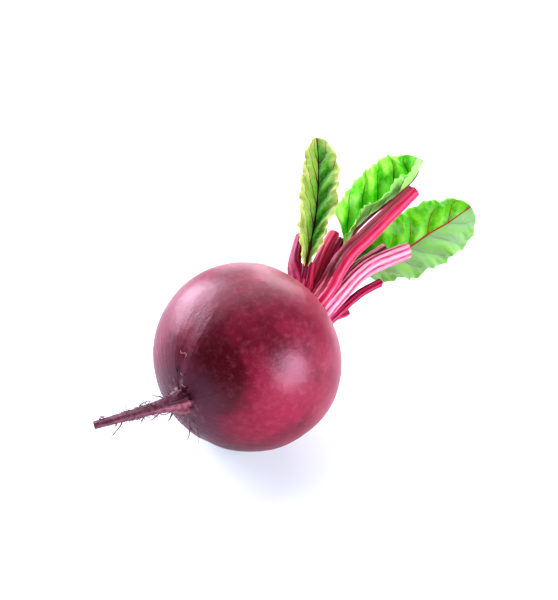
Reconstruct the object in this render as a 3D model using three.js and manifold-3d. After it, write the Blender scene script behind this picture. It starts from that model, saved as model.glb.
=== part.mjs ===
// A globe beetroot as picked, lying on its side: the swollen root with its taproot and side roots,
// cut leaf stalks crowded on the crown, and three young leaves. Millimetres, +Z up.
// The origin is the middle of the small flat spot that the root rests on.
// The taproot points to the left and towards the viewer, who looks along +Y, and the crown points away.
import * as THREE from "three";
import { mergeVertices } from "three/addons/utils/BufferGeometryUtils.js";
import Module from "manifold-3d";

// Driving dimensions
const bulbRadius = 38.2; // at the widest ring, across the root's axis
const bulbToTail = 37.5; // from the widest ring to where the bulb would close below the taproot
const bulbToCrown = 33.2; // from the widest ring to where the bulb would close under the crown
const tailFullness = 2.02; // power of the profile towards the tail, 2 for an ellipse
const crownFullness = 2.25; // and towards the crown, where the bulb is squarer
const bulbHeight = 36.9; // of the bulb's middle above the surface, a little less than its radius
const axisHeading = 227; // degrees from +X, anticlockwise, the way the taproot leaves
const axisDip = 4.5; // degrees below level, the way the taproot leaves
const neckRadius = 12.5; // of the corky neck that carries the stalks
const neckShoulder = 35; // from the widest ring to where the neck starts to round over
const neckEnd = 38.5; // from the widest ring to the top of the neck
const neckFullness = 2.4;
const taprootStart = 33; // from the widest ring to where the taproot's own curved line begins
const taprootRadius = 5.2; // where it leaves the bulb
const taprootTipRadius = 1.5; // where it was cut
const taprootTaper = 12.4; // the length in which it loses most of its extra thickness
const sideRootRadius = 0.36;
const bladeThickness = 0.8;
const clearance = 0.3; // between two pieces that touch
const rootSides = 40;
const stalkSides = 16;
const leafStalkSides = 8;
const bladeRows = 26;
const bladeColumns = 10;

const { degToRad: radians, lerp, smoothstep } = THREE.MathUtils;
const point = (x, y, z) => new THREE.Vector3(x, y, z);

const wasm = await Module();
wasm.setup();

// The root's own axes: taprootWay leaves by the tail, and crownUp and crownSide span the crown
const bulbMiddle = point(0, 0, bulbHeight);
const taprootWay = point(
  Math.cos(radians(axisHeading)) * Math.cos(radians(axisDip)),
  Math.sin(radians(axisHeading)) * Math.cos(radians(axisDip)),
  -Math.sin(radians(axisDip)),
);
const crownWay = taprootWay.clone().negate();
const crownUp = squaredTo(point(0, 0, 1), crownWay);
const crownSide = crownWay.clone().cross(crownUp);

// A point a distance towards the crown, at an angle round the root's axis and a distance from it
function crownPoint(along, degrees, distance) {
  return bulbMiddle
    .clone()
    .addScaledVector(crownWay, along)
    .addScaledVector(crownSide, distance * Math.cos(radians(degrees)))
    .addScaledVector(crownUp, distance * Math.sin(radians(degrees)));
}

function squaredTo(vector, way) {
  return vector.clone().addScaledVector(way, -vector.dot(way)).normalize();
}

// Solids

function solidOf(points, triangles) {
  const geometry = new THREE.BufferGeometry().setFromPoints(points).setIndex(triangles);
  return solidOfGeometry(geometry);
}

function solidOfGeometry(geometry) {
  const bare = geometry.clone().deleteAttribute("normal").deleteAttribute("uv");
  const merged = mergeVertices(bare, 1e-4);
  return new wasm.Manifold(
    new wasm.Mesh({
      numProp: 3,
      vertProperties: new Float32Array(merged.attributes.position.array),
      triVerts: new Uint32Array(merged.index.array),
    }),
  );
}

function geometryOf(solid) {
  const mesh = solid.getMesh();
  return new THREE.BufferGeometry()
    .setAttribute("position", new THREE.BufferAttribute(mesh.vertProperties, 3))
    .setIndex(new THREE.BufferAttribute(mesh.triVerts, 1));
}

// Rings of points joined one to the next, with both ends closed by a fan
function loft(rings) {
  const count = rings[0].length;
  const points = rings.flat();
  const triangles = [];
  for (let i = 0; i + 1 < rings.length; i++)
    for (let j = 0; j < count; j++) {
      const a = i * count + j;
      const b = i * count + ((j + 1) % count);
      triangles.push(a, b, b + count, a, b + count, a + count);
    }
  const last = (rings.length - 1) * count;
  const start = points.push(middleOf(rings[0])) - 1;
  const end = points.push(middleOf(rings.at(-1))) - 1;
  for (let j = 0; j < count; j++) {
    const next = (j + 1) % count;
    triangles.push(start, next, j, end, last + j, last + next);
  }
  return solidOf(points, triangles);
}

function middleOf(ring) {
  const middle = point(0, 0, 0);
  ring.forEach((p) => middle.add(p));
  return middle.divideScalar(ring.length);
}

// A ring of points round a centre, across the way it faces, with a radius for each angle
function ringRound(centre, way, up, sides, radiusAt) {
  const side = up.clone().cross(way);
  const ring = [];
  for (let j = 0; j < sides; j++) {
    const angle = (2 * Math.PI * j) / sides;
    const radius = radiusAt(angle);
    ring.push(
      centre
        .clone()
        .addScaledVector(side, radius * Math.cos(angle))
        .addScaledVector(up, radius * Math.sin(angle)),
    );
  }
  return ring;
}

// What is left of a piece once others are cut away from it, without any loose scrap
function largestBody(solid) {
  return solid.decompose().sort((a, b) => b.volume() - a.volume())[0];
}

// The root

const taprootLine = new THREE.CatmullRomCurve3([
  bulbMiddle.clone().addScaledVector(taprootWay, taprootStart),
  bulbMiddle.clone().addScaledVector(taprootWay, taprootStart + 5),
  point(-32.3, -33.4, 35.5),
  point(-42.5, -37.8, 34.9),
  point(-58.3, -42.3, 32.4),
]);
const taprootEnd = taprootStart + taprootLine.getLength();

// The root's radius at a distance from the widest ring, towards the crown where it is negative
function rootRadius(along) {
  return along > 0 ? tailSideRadius(along) : crownSideRadius(-along);
}

function tailSideRadius(along) {
  const bulb = ovalRadius(along, bulbToTail, bulbRadius, tailFullness);
  const flare = smoothstep(along, 20, 34);
  const fade = Math.exp(-Math.max(along - taprootStart, 0) / taprootTaper);
  const taproot = flare * lerp(taprootTipRadius, taprootRadius, fade);
  return (bulb ** 3 + taproot ** 3) ** (1 / 3);
}

function crownSideRadius(along) {
  const bulb = ovalRadius(along, bulbToCrown, bulbRadius, crownFullness);
  const flare = smoothstep(along, 20, 31);
  const capLength = neckEnd + 0.2 - neckShoulder; // a little past the end, so that the top is flat
  const neck = flare * ovalRadius(along - neckShoulder, capLength, neckRadius, neckFullness);
  return (bulb ** 4 + neck ** 4) ** (1 / 4);
}

function ovalRadius(along, reach, radius, fullness) {
  const share = THREE.MathUtils.clamp(along / reach, 0, 1);
  return radius * (1 - share ** fullness) ** (1 / fullness);
}

// Broad unevenness, the two furrows that the side roots grow from, and the neck's corky rings
function rootRelief(along, angle) {
  const oval = 0.018 * Math.cos(2 * (angle - radians(155)));
  const lobes = 0.006 * Math.cos(3 * angle - 1 + along / 20);
  const onBulb = Math.exp(-((along / 30) ** 4));
  const unevenness = bulbRadius * onBulb * (oval + lobes);
  const nearTail = smoothstep(along, 8, 34) * Math.min(1, rootRadius(along) / 8);
  const furrows = Math.exp(-((Math.cos(angle - radians(5)) / 0.16) ** 2));
  const nearNeck = smoothstep(-along, 29, 33);
  const corkyRings = 0.35 * Math.cos(along * 2.6) + 0.3 * Math.cos(9 * angle);
  return unevenness - 0.75 * nearTail * furrows + nearNeck * corkyRings;
}

function rootCentre(along) {
  if (along <= taprootStart)
    return [bulbMiddle.clone().addScaledVector(taprootWay, along), taprootWay.clone()];
  const share = Math.min((along - taprootStart) / (taprootEnd - taprootStart), 1);
  return [taprootLine.getPointAt(share), taprootLine.getTangentAt(share)];
}

function rootRing(along, grow) {
  const [centre, way] = rootCentre(along);
  const up = squaredTo(point(0, 0, 1), way);
  const radiusAt = (angle) => rootRadius(along) + rootRelief(along, angle) + grow;
  return ringRound(centre, way, up, rootSides, radiusAt);
}

function rootBody(grow = 0) {
  const stations = [-neckEnd, -37.6, -36, -34, -32.3];
  const bulbRings = 18;
  for (let i = 1; i <= bulbRings; i++)
    stations.push(-32.5 * Math.cos((Math.PI * i) / (bulbRings + 1)));
  stations.push(33, 34.5, 36, 37.5, 39.5, 42, 46, 51, 57, 63, taprootEnd);
  const rings = stations.map((along) => rootRing(along, grow));
  if (grow) rings[0].forEach((p) => p.addScaledVector(crownWay, grow));
  return loft(rings);
}

// Side roots, thin and drooping: how far along the root, the angle round it, and their length.
// Those at about 270 degrees hang from the taproot's underside.
const sideRoots = [
  { along: 63.6, degrees: 276, length: 8 },
  { along: 54.5, degrees: 268, length: 3.6 },
  { along: 48, degrees: 262, length: 5 },
  { along: 42.5, degrees: 290, length: 4.2 },
  { along: 39, degrees: 252, length: 5.5 },
  { along: 70, degrees: 100, length: 2.4 },
  { along: 56, degrees: 128, length: 3.2 },
  { along: 45, degrees: 150, length: 5 },
  { along: 60, degrees: 190, length: 4 },
];

function sideRoot({ along, degrees, length }) {
  const [centre, way] = rootCentre(along);
  const up = squaredTo(point(0, 0, 1), way);
  const side = up.clone().cross(way);
  const out = side
    .multiplyScalar(Math.cos(radians(degrees)))
    .addScaledVector(up, Math.sin(radians(degrees)));
  const skin = centre.clone().addScaledVector(out, rootRadius(along));
  const sunk = skin.clone().addScaledVector(out, -1.2);
  const lean = out.clone().addScaledVector(way, 0.8).normalize();
  const middle = skin.clone().addScaledVector(lean, length / 2);
  const end = skin.clone().addScaledVector(lean, length).addScaledVector(up, -0.22 * length);
  const line = new THREE.CatmullRomCurve3([sunk, skin, middle, end]);
  const rings = [];
  for (let i = 0; i <= 5; i++) {
    const t = i / 5;
    const across = squaredTo(point(0.2, 0.1, 1), line.getTangent(t));
    const radius = sideRootRadius * (1 - 0.2 * t);
    rings.push(ringRound(line.getPoint(t), line.getTangent(t), across, 5, () => radius));
  }
  return loft(rings);
}

// Dry ends of older leaves, left round the neck
const oldStalkEnds = [
  { degrees: 165, length: 1.5 },
  { degrees: 206, length: 2.5 },
  { degrees: 228, length: 3.5 },
  { degrees: 282, length: 1.5 },
  { degrees: 322, length: 2.5 },
];

function oldStalkEnd({ degrees, length }, grow) {
  const foot = crownPoint(31, degrees, 10.5);
  const top = crownPoint(neckShoulder + length, degrees, 12.5);
  const inwards = crownPoint(neckShoulder + length, degrees, 0).sub(top).normalize();
  const way = top.clone().sub(foot).normalize();
  const rings = [0, 0.6, 1].map((t) => {
    const size = { width: lerp(7, 4.5, t), depth: lerp(4, 2.2, t), ribs: 0.15, groove: 0.3 };
    return stalkRing(foot.clone().lerp(top, t), way, inwards, size, grow, 12);
  });
  if (grow) rings.at(-1).forEach((p) => p.addScaledVector(way, grow));
  return loft(rings);
}

function rootAndNeck(grow = 0) {
  return wasm.Manifold.union([rootBody(grow), ...oldStalkEnds.map((end) => oldStalkEnd(end, grow))]);
}

// The whole root, cut level with the surface it rests on
function beetRoot() {
  const joined = wasm.Manifold.union([rootAndNeck(), ...sideRoots.map(sideRoot)]);
  const above = new THREE.BoxGeometry(400, 400, 200).translate(0, 0, 100);
  return largestBody(joined.intersect(solidOfGeometry(above)));
}

// The stalks

// A ribbed crescent: a groove on the inner face and ribs round the back
function stalkRing(centre, way, inner, size, grow, sides) {
  const up = squaredTo(inner, way);
  const side = up.clone().cross(way);
  const ring = [];
  for (let j = 0; j < sides; j++) {
    const angle = (2 * Math.PI * (j + 0.5)) / sides;
    const across = Math.cos(angle);
    const high = Math.sin(angle);
    const rib = 1 + (j % 2 ? 0.5 : -0.5) * size.ribs;
    const hollow = high > 0 ? size.groove * size.depth * Math.exp(-((across / 0.5) ** 2)) : 0;
    ring.push(
      centre
        .clone()
        .addScaledVector(side, (size.width / 2 + grow) * across * rib)
        .addScaledVector(up, (size.depth / 2 + grow) * high * rib - hollow),
    );
  }
  return ring;
}

// Stalks cut off short. Each foot is sunk in the neck, at an angle and a distance from the root's axis.
// Widths and depths are those at the foot, half way and at the cut.
// A stalk's grooved inner face looks at the root's axis, unless it was turned as it grew.
const cutStalks = [
  {
    name: "cut_stalk_1",
    finish: "redStalk",
    at: [60, 8.2],
    width: [10, 8.8, 6.6],
    depth: [6, 7, 6],
    through: [[31.4, 28.9, 51.4], [39.7, 41, 60.2], [48.5, 49.3, 65.3], [69.4, 67.3, 78.2]],
    inner: [-0.6, -0.3, 0.75],
  },
  {
    name: "cut_stalk_2",
    finish: "paleStalk",
    at: [6, 8.4],
    width: [9, 7.8, 7.6],
    depth: [4.8, 5, 4.8],
    through: [[34.5, 29, 44.2], [45.5, 43, 50.2], [52, 48.7, 52.2], [67.5, 59, 53.6]],
  },
  {
    name: "cut_stalk_3",
    finish: "redStalk",
    at: [130, 8.4],
    width: [8, 7, 6],
    depth: [4.8, 4.6, 4],
    through: [[20.6, 30.4, 50.3], [18.9, 41, 56.8], [21.6, 52.6, 64.3]],
  },
  {
    name: "cut_stalk_4",
    finish: "redStalk",
    at: [100, 5],
    width: [6, 5.6, 4.8],
    depth: [4, 4.2, 3.8],
    through: [[25.5, 35.5, 50.2], [31.8, 50.6, 58.9], [35.8, 58.4, 62.4]],
  },
  {
    name: "cut_stalk_5",
    finish: "redStalk",
    at: [-42, 8.4],
    width: [8, 5.6, 5],
    depth: [4.4, 4, 3.8],
    through: [[34.5, 27, 39.2], [45.5, 41, 42.2], [55, 52, 41.7]],
  },
  {
    name: "cut_stalk_6",
    finish: "paleStalk",
    at: [18, 3.6],
    width: [5, 5.2, 5.2],
    depth: [3.6, 3.8, 3.6],
    through: [[36, 38.5, 45.2], [44.7, 50.7, 49.2], [58, 63.7, 51.6]],
  },
  {
    name: "cut_stalk_7",
    finish: "redStalk",
    at: [68, 3.4],
    width: [4.4, 4.6, 4.4],
    depth: [3, 3.4, 3.2],
    through: [[29, 39, 49.2], [34.4, 51.7, 54.9], [38.6, 61, 57.9]],
  },
  {
    name: "cut_stalk_8",
    finish: "redStalk",
    at: [188, 8.4],
    width: [8, 6.4, 5.6],
    depth: [4.4, 4.2, 3.8],
    through: [[17.5, 35, 42.2], [19.5, 47, 44.7], [22.5, 60, 44.2]],
  },
  {
    name: "cut_stalk_9",
    finish: "redStalk",
    at: [250, 8.4],
    width: [8.4, 6.4, 5.6],
    depth: [4.6, 4.2, 3.8],
    through: [[26, 34, 31.7], [33, 44, 29.7], [41, 55, 26.2]],
  },
  {
    name: "young_shoot",
    finish: "redStalk",
    at: [97, 9.8],
    width: [2.8, 3.2, 2],
    depth: [2.6, 3, 2],
    through: [[24.6, 30.8, 50.5], [25.3, 35.3, 54.4], [26.2, 39.7, 58.1]],
  },
];

// A value that changes evenly from the start of a piece to its middle, and from there to its end
function threeWay(values, t) {
  return t < 0.5 ? lerp(values[0], values[1], 2 * t) : lerp(values[1], values[2], 2 * t - 1);
}

function cutStalk(stalk, grow = 0) {
  const [degrees, distance] = stalk.at;
  const foot = crownPoint(32, degrees, 0.92 * distance);
  const line = new THREE.CatmullRomCurve3([foot, ...stalk.through.map((p) => point(...p))]);
  const inwards = stalk.inner ? point(...stalk.inner) : crownPoint(32, 0, 0).sub(foot);
  const steps = 7;
  const rings = [];
  for (let i = 0; i <= steps; i++) {
    const t = i / steps;
    const width = threeWay(stalk.width, t);
    const depth = threeWay(stalk.depth, t);
    const size = { width, depth, ribs: 0.09, groove: 0.16 };
    rings.push(stalkRing(line.getPointAt(t), line.getTangentAt(t), inwards, size, grow, stalkSides));
  }
  if (grow) rings.at(-1).forEach((p) => p.addScaledVector(line.getTangentAt(1), grow));
  return loft(rings);
}

// The leaves. The path runs from the neck to the tip, and the blade starts where the stalk length ends.
// A pair gives the left and the right half of the blade, seen from its face with the tip up.
// Fullest holds the two powers of the outline: a high first one narrows the base, a high second the tip.
// Lean is how far the edge of each half is drawn towards the tip, at the blade's base.
// Folds and curls are in degrees, at the blade's base, middle and tip.
const leaves = [
  {
    name: "leaf_1",
    at: [150, 4.4],
    path: [
      [22.4, 31.5, 52.7],
      [23.6, 35, 57.2],
      [25.3, 41, 64.1],
      [27, 47.7, 69.9],
      [28.4, 55, 76.7],
      [29, 62.4, 83.5],
      [29.1, 70, 90.5],
      [28.4, 77.6, 97.7],
    ],
    face: [0, -0.866, 0.5],
    stalkLength: 20,
    stalkWidth: 3.6,
    halfWidth: [8, 10.2],
    fullest: [0.55, 0.48],
    lean: [0, 0],
    foldLeft: [25, 28, 22],
    foldRight: [55, 48, 20],
    curlLeft: [10, -20, -25],
    curlRight: [20, -20, -30],
    waves: 3.5,
    waveHeight: 1,
    teeth: 8.3,
  },
  {
    name: "leaf_2",
    at: [40, 1.4],
    path: [
      [31.7, 40.6, 47.6],
      [37.4, 51.5, 52.6],
      [41.4, 57.6, 57],
      [44.2, 62, 61.1],
      [51.3, 67.4, 66],
      [58.4, 70.4, 70.6],
      [65, 74.3, 74.6],
      [70.4, 77.6, 78.8],
      [74.4, 82, 85],
    ],
    face: [0.05, -0.84, 0.54],
    stalkLength: 38,
    stalkWidth: 3.6,
    halfWidth: [16.6, 9.2],
    fullest: [0.42, 0.3],
    lean: [9, 0],
    foldLeft: [20, 8, -5],
    foldRight: [112, 114, 118],
    curlLeft: [-10, -15, 0],
    curlRight: [0, 0, 10],
    waves: 3,
    waveHeight: 1.3,
    teeth: 9.3,
  },
  {
    name: "leaf_3",
    at: [-30, 3.6],
    path: [
      [36.2, 46.5, 41.8],
      [45.1, 58.2, 44],
      [58.4, 67.1, 45.5],
      [69.9, 73.3, 48.2],
      [78.4, 77.8, 52.1],
      [87.1, 82, 55.5],
      [92, 84.6, 58],
      [96.6, 87, 60.4],
    ],
    face: [-0.05, -0.8, 0.6],
    stalkLength: 42,
    stalkWidth: 4,
    halfWidth: [14.5, 15.5],
    fullest: [0.5, 0.46],
    lean: [0, 0],
    foldLeft: [15, 6, 0],
    foldRight: [20, 22, 10],
    curlLeft: [0, 0, -15],
    curlRight: [10, 5, -25],
    waves: 4.5,
    waveHeight: 1.3,
    teeth: 10.3,
  },
];

function leafLine(leaf) {
  const foot = crownPoint(33, ...leaf.at);
  return new THREE.CatmullRomCurve3([foot, ...leaf.path.map((p) => point(...p))]);
}

// The red stalk, which runs on under the blade as its midrib
function leafStalk(leaf, grow = 0) {
  const line = leafLine(leaf);
  const face = point(...leaf.face);
  const start = leaf.stalkLength / line.getLength();
  const end = 0.95;
  const steps = 14;
  const rings = [];
  for (let i = 0; i <= steps; i++) {
    const t = (end * i) / steps;
    const way = line.getTangentAt(t);
    const midrib = Math.max((t - start) / (end - start), 0);
    const width = lerp(leaf.stalkWidth, 0.9, midrib ** 0.75);
    const size = { width, depth: 0.95 * width, ribs: 0, groove: 0.05 };
    const underBlade = size.depth / 2 + bladeThickness / 2 + clearance;
    const drop = lerp(0.22 * width, underBlade, smoothstep(midrib, 0.08, 0.4));
    const centre = line.getPointAt(t).addScaledVector(squaredTo(face, way), -drop);
    rings.push(stalkRing(centre, way, face, size, grow, leafStalkSides));
  }
  if (grow) rings.at(-1).forEach((p) => p.addScaledVector(line.getTangentAt(end), grow));
  return loft(rings);
}

// The outline of one half of a blade, with its small blunt teeth
function bladeHalfWidth(leaf, t, side) {
  const [base, tip] = leaf.fullest;
  const widest = base / (base + tip);
  const outline = (t / widest) ** base * ((1 - t) / (1 - widest)) ** tip;
  const teeth = 0.45 * Math.sin(2 * Math.PI * leaf.teeth * t + side) * Math.min(1, 8 * t);
  return Math.max(leaf.halfWidth[side < 0 ? 0 : 1] * outline + teeth, 1.4);
}

// One point of the blade's middle surface and its normal: t runs to the tip, q from -1 to 1 across
function bladePoint(leaf, line, t, q) {
  const share = lerp(leaf.stalkLength / line.getLength(), 1, t);
  const way = line.getTangentAt(share);
  const up = squaredTo(point(...leaf.face), way);
  const right = way.clone().cross(up);
  const side = q < 0 ? -1 : 1;
  const out = Math.abs(q);
  const fold = radians(threeWay(q < 0 ? leaf.foldLeft : leaf.foldRight, t));
  const curl = radians(threeWay(q < 0 ? leaf.curlLeft : leaf.curlRight, t)) || 0.001;
  const turn = fold + curl * out;
  const width = bladeHalfWidth(leaf, t, side);
  const across = (width * (Math.sin(turn) - Math.sin(fold))) / curl;
  const rise = (width * (Math.cos(fold) - Math.cos(turn))) / curl;
  const normal = up.clone();
  if (out > 0) normal.multiplyScalar(Math.cos(turn)).addScaledVector(right, -side * Math.sin(turn));
  const lean = leaf.lean[q < 0 ? 0 : 1] * out * (1 - t);
  const edgeWave = leaf.waveHeight * out ** 2 * Math.sin(2 * Math.PI * leaf.waves * t + side);
  const pleats = 2 * out * (1 - out) * Math.sin(2 * Math.PI * (6 * t - 1.2 * out));
  const place = line
    .getPointAt(share)
    .addScaledVector(right, side * across)
    .addScaledVector(up, rise)
    .addScaledVector(way, lean)
    .addScaledVector(normal, (edgeWave + pleats) * Math.min(1, 6 * t, 6 * (1 - t)));
  return [place, normal];
}

// Both faces are split into the same triangles, and a strip round the edge joins them
function leafBlade(leaf) {
  const line = leafLine(leaf);
  const top = [];
  const under = [];
  for (let i = 0; i <= bladeRows; i++)
    for (let j = 0; j <= bladeColumns; j++) {
      const [place, normal] = bladePoint(leaf, line, i / bladeRows, (2 * j) / bladeColumns - 1);
      top.push(place.clone().addScaledVector(normal, bladeThickness / 2));
      under.push(place.clone().addScaledVector(normal, -bladeThickness / 2));
    }
  const triangles = [];
  const count = top.length;
  const at = (i, j) => i * (bladeColumns + 1) + j;
  const faces = (a, b, c) => triangles.push(a, b, c, count + a, count + c, count + b);
  for (let i = 0; i < bladeRows; i++)
    for (let j = 0; j < bladeColumns; j++) {
      faces(at(i, j), at(i, j + 1), at(i + 1, j + 1));
      faces(at(i, j), at(i + 1, j + 1), at(i + 1, j));
    }
  const rim = [];
  for (let j = 0; j < bladeColumns; j++) rim.push(at(0, j));
  for (let i = 0; i < bladeRows; i++) rim.push(at(i, bladeColumns));
  for (let j = bladeColumns; j > 0; j--) rim.push(at(bladeRows, j));
  for (let i = bladeRows; i > 0; i--) rim.push(at(i, 0));
  rim.forEach((a, k) => {
    const b = rim[(k + 1) % rim.length];
    triangles.push(a, count + a, count + b, a, count + b, b);
  });
  return solidOf([...top, ...under], triangles);
}

// Materials

const finishes = {
  root: new THREE.MeshStandardMaterial({ color: 0x6d2133, roughness: 0.42, metalness: 0 }),
  redStalk: new THREE.MeshStandardMaterial({ color: 0xb52a52, roughness: 0.38, metalness: 0 }),
  paleStalk: new THREE.MeshStandardMaterial({ color: 0xcf7f97, roughness: 0.38, metalness: 0 }),
  leafStalk: new THREE.MeshStandardMaterial({ color: 0x6e2236, roughness: 0.45, metalness: 0 }),
  blade: new THREE.MeshStandardMaterial({ color: 0x55a62a, roughness: 0.45, metalness: 0 }),
};

// The whole: each stalk gives way to the root and to the stalks made before it, and the blades to them all

const beetroot = new THREE.Group();

function add(name, solid, material) {
  const mesh = new THREE.Mesh(geometryOf(solid), material);
  mesh.name = name;
  beetroot.add(mesh);
}

add("beet_root", beetRoot(), finishes.root);
let taken = rootAndNeck(clearance);
for (const stalk of cutStalks) {
  add(stalk.name, largestBody(cutStalk(stalk).subtract(taken)), finishes[stalk.finish]);
  taken = taken.add(cutStalk(stalk, clearance));
}
for (const leaf of leaves) {
  add(`${leaf.name}_stalk`, largestBody(leafStalk(leaf).subtract(taken)), finishes.leafStalk);
  taken = taken.add(leafStalk(leaf, clearance));
}
for (const leaf of leaves)
  add(`${leaf.name}_blade`, largestBody(leafBlade(leaf).subtract(taken)), finishes.blade);

export default beetroot;
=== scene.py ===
import math

import bpy
import numpy as np
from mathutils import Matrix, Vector, noise


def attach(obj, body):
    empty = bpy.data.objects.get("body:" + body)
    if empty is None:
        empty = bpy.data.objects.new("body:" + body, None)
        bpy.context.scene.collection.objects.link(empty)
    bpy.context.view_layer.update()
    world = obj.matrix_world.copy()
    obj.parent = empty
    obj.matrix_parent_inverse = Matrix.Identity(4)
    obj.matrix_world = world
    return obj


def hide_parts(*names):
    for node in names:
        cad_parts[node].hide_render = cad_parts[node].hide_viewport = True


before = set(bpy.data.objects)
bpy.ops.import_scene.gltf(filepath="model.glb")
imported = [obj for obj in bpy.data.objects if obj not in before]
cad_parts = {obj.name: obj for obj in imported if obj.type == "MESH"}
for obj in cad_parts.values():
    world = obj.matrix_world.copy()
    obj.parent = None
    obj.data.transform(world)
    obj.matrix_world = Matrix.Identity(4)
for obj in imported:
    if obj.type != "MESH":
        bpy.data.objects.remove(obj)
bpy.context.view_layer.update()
print("frame loaded")

mm = 0.001
chance = np.random.default_rng(11)


# Numbers and curves


def vec(*numbers):
    return np.array(numbers, float)


def lerp(a, b, t):
    return a + (b - a) * t


def smoothstep(value, low, high):
    t = np.clip((value - low) / (high - low), 0, 1)
    return t * t * (3 - 2 * t)


def threeWay(values, t):
    return np.interp(t, [0, 0.5, 1], values)


def unit(vector):
    return vector / np.linalg.norm(vector, axis=-1, keepdims=True)


def squaredTo(vector, way):
    return unit(vector - np.sum(vector * way, axis=-1, keepdims=True) * way)


# A smooth line through points (centripetal Catmull-Rom), as close points and their distance from its start
def lineThrough(points, steps=48):
    p = np.array(points, float)
    p = np.vstack([2 * p[0] - p[1], p, 2 * p[-1] - p[-2]])
    t = np.linspace(0, 1, steps, endpoint=False)[:, None]
    pieces = []
    for before, a, b, after in zip(p, p[1:], p[2:], p[3:]):
        d0 = np.linalg.norm(a - before) ** 0.5
        d1 = np.linalg.norm(b - a) ** 0.5
        d2 = np.linalg.norm(after - b) ** 0.5
        out = ((a - before) / d0 - (b - before) / (d0 + d1) + (b - a) / d1) * d1
        into = ((b - a) / d1 - (after - a) / (d1 + d2) + (after - b) / d2) * d1
        pieces.append(a + t * (out + t * (3 * (b - a) - 2 * out - into + t * (2 * (a - b) + out + into))))
    line = np.vstack(pieces + [p[-2:-1]])
    length = np.concatenate([[0], np.cumsum(np.linalg.norm(np.diff(line, axis=0), axis=1))])
    return line, length


# Places on such a line and the ways it runs there, at shares of its length
def onLine(curve, share):
    line, length = curve
    at = np.clip(share, 0, 1) * length[-1]
    slope = np.gradient(line, length, axis=0)
    place = np.stack([np.interp(at, length, line[:, k]) for k in range(3)], -1)
    way = np.stack([np.interp(at, length, slope[:, k]) for k in range(3)], -1)
    return place, unit(way)


# Smooth noise between about -1 and 1, with bumps of the given size
def unevenness(points, size, shift=0):
    flat = (np.asarray(points, float) / size + shift).reshape(-1, 3)
    values = np.array([noise.noise(p) for p in flat.tolist()])
    return values.reshape(np.shape(points)[:-1])


def bumps(points, height, size, shift=0):
    return height * unevenness(points, size, shift)


# Fades from 1 at a middle to nothing, over about twice the reach
def hump(value, middle, reach):
    return np.exp(-(((value - middle) / reach) ** 2))


# Meshes


def makeObject(name, points, faces, attributes, material):
    mesh = bpy.data.meshes.new(name)
    mesh.from_pydata((np.asarray(points) * mm).tolist(), [], faces)
    for key, values in attributes.items():
        values = np.asarray(values, np.float32)
        if values.ndim == 1:
            mesh.attributes.new(key, "FLOAT", "POINT").data.foreach_set("value", values)
        else:
            mesh.attributes.new(key, "FLOAT_VECTOR", "POINT").data.foreach_set("vector", values.ravel())
    mesh.polygons.foreach_set("use_smooth", [True] * len(mesh.polygons))
    mesh.materials.append(material)
    mesh.update()
    piece = bpy.data.objects.new(name, mesh)
    bpy.context.scene.collection.objects.link(piece)
    return piece


def standFor(piece, nodes):
    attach(piece, "root")
    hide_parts(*nodes)


# Four-sided faces of a grid of points, closed round the columns where it is a tube
def gridFaces(rows, columns, closed=False, first=0):
    i = np.arange(rows - 1)[:, None]
    j = np.arange(columns if closed else columns - 1)[None, :]
    following = (j + 1) % columns
    corners = [i * columns + j, i * columns + following, (i + 1) * columns + following, (i + 1) * columns + j]
    return (np.stack(np.broadcast_arrays(*corners), -1).reshape(-1, 4) + first).tolist()


# A tube's faces with a fan at each end, whose two middle points follow the tube's own
def tubeFaces(rows, columns, first=0):
    start = first + rows * columns
    last = first + (rows - 1) * columns
    faces = gridFaces(rows, columns, closed=True, first=first)
    for j in range(columns):
        following = (j + 1) % columns
        faces.append([start, first + following, first + j])
        faces.append([start + 1, last + j, last + following])
    return faces


# The points of a grid in one list, then the middles of its first and its last ring
def withMiddles(grid):
    middles = [grid[0].mean(axis=0, keepdims=True), grid[-1].mean(axis=0, keepdims=True)]
    return np.concatenate([grid.reshape(-1, *grid.shape[2:])] + middles)


# Materials


def linear(hexColour):
    parts = [int(hexColour[i : i + 2], 16) / 255 for i in (1, 3, 5)]
    return [c / 12.92 if c <= 0.04045 else ((c + 0.055) / 1.055) ** 2.4 for c in parts] + [1]


def perMm(size):
    return 1 / (size * mm)  # a texture's scale on coordinates in metres, for features of this size


def newMaterial(name):
    material = bpy.data.materials.new(name)
    material.use_nodes = True
    shader = material.node_tree.nodes["Principled BSDF"]
    return material, material.node_tree, shader


# Adds a node and gives one of its outputs. Its sockets are values, hex colours or links, by name or in order.
def addNode(tree, kind, sockets=(), output=0, **settings):
    node = tree.nodes.new("ShaderNode" + kind)
    for name, value in settings.items():
        setattr(node, name, value)
    named = sockets if isinstance(sockets, dict) else dict(enumerate(sockets))
    for name, value in named.items():
        if isinstance(value, bpy.types.NodeSocket):
            tree.links.new(value, node.inputs[name])
        else:
            node.inputs[name].default_value = linear(value) if isinstance(value, str) else value
    return node.outputs[output]


# Skin of a washed beetroot: thin cork over red flesh, satin, mottled, with small pale pores.
# It turns pinkish brown towards the crown and greyer, then brown, down the taproot.
beetSkin = {
    "wine": "#782036",
    "deep": "#5c0d24",
    # painted glow of light bounced up from the floor
    "paintedBounceGlow": "#841e3a",
    # painted shade, also the colour of the dark streaks
    "paintedShade": "#4c0610",
    "crownSide": "#a45a66",
    "tailSide": "#5e2e40",
    "taproot": "#683e4a",
    # tint of the knobs, also a painted highlight on the taproot's ridges
    "knobTintAndRidgeHighlight": "#a06a6a",
    # painted shade in the taproot's grooves
    "groove": "#3c0c1a",
    "neck": "#6a4236",
    "scar": "#1c080a",
    # pale tint of the pores, also a painted highlight along the streaks
    "poreTintAndStreakHighlight": "#c08a94",
    "patchSize": 17,  # sizes in millimetres
    "mottleSize": 2.6,
    "grainSize": 0.7,
    "poreSpacing": 2.1,
    "streaksToRadius": 16,  # so they are about 2.4 mm wide on the bulb
    "roughness": (0.33, 0.44),
    "ior": 1.45,
    "specular": 0.5,
}


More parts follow.
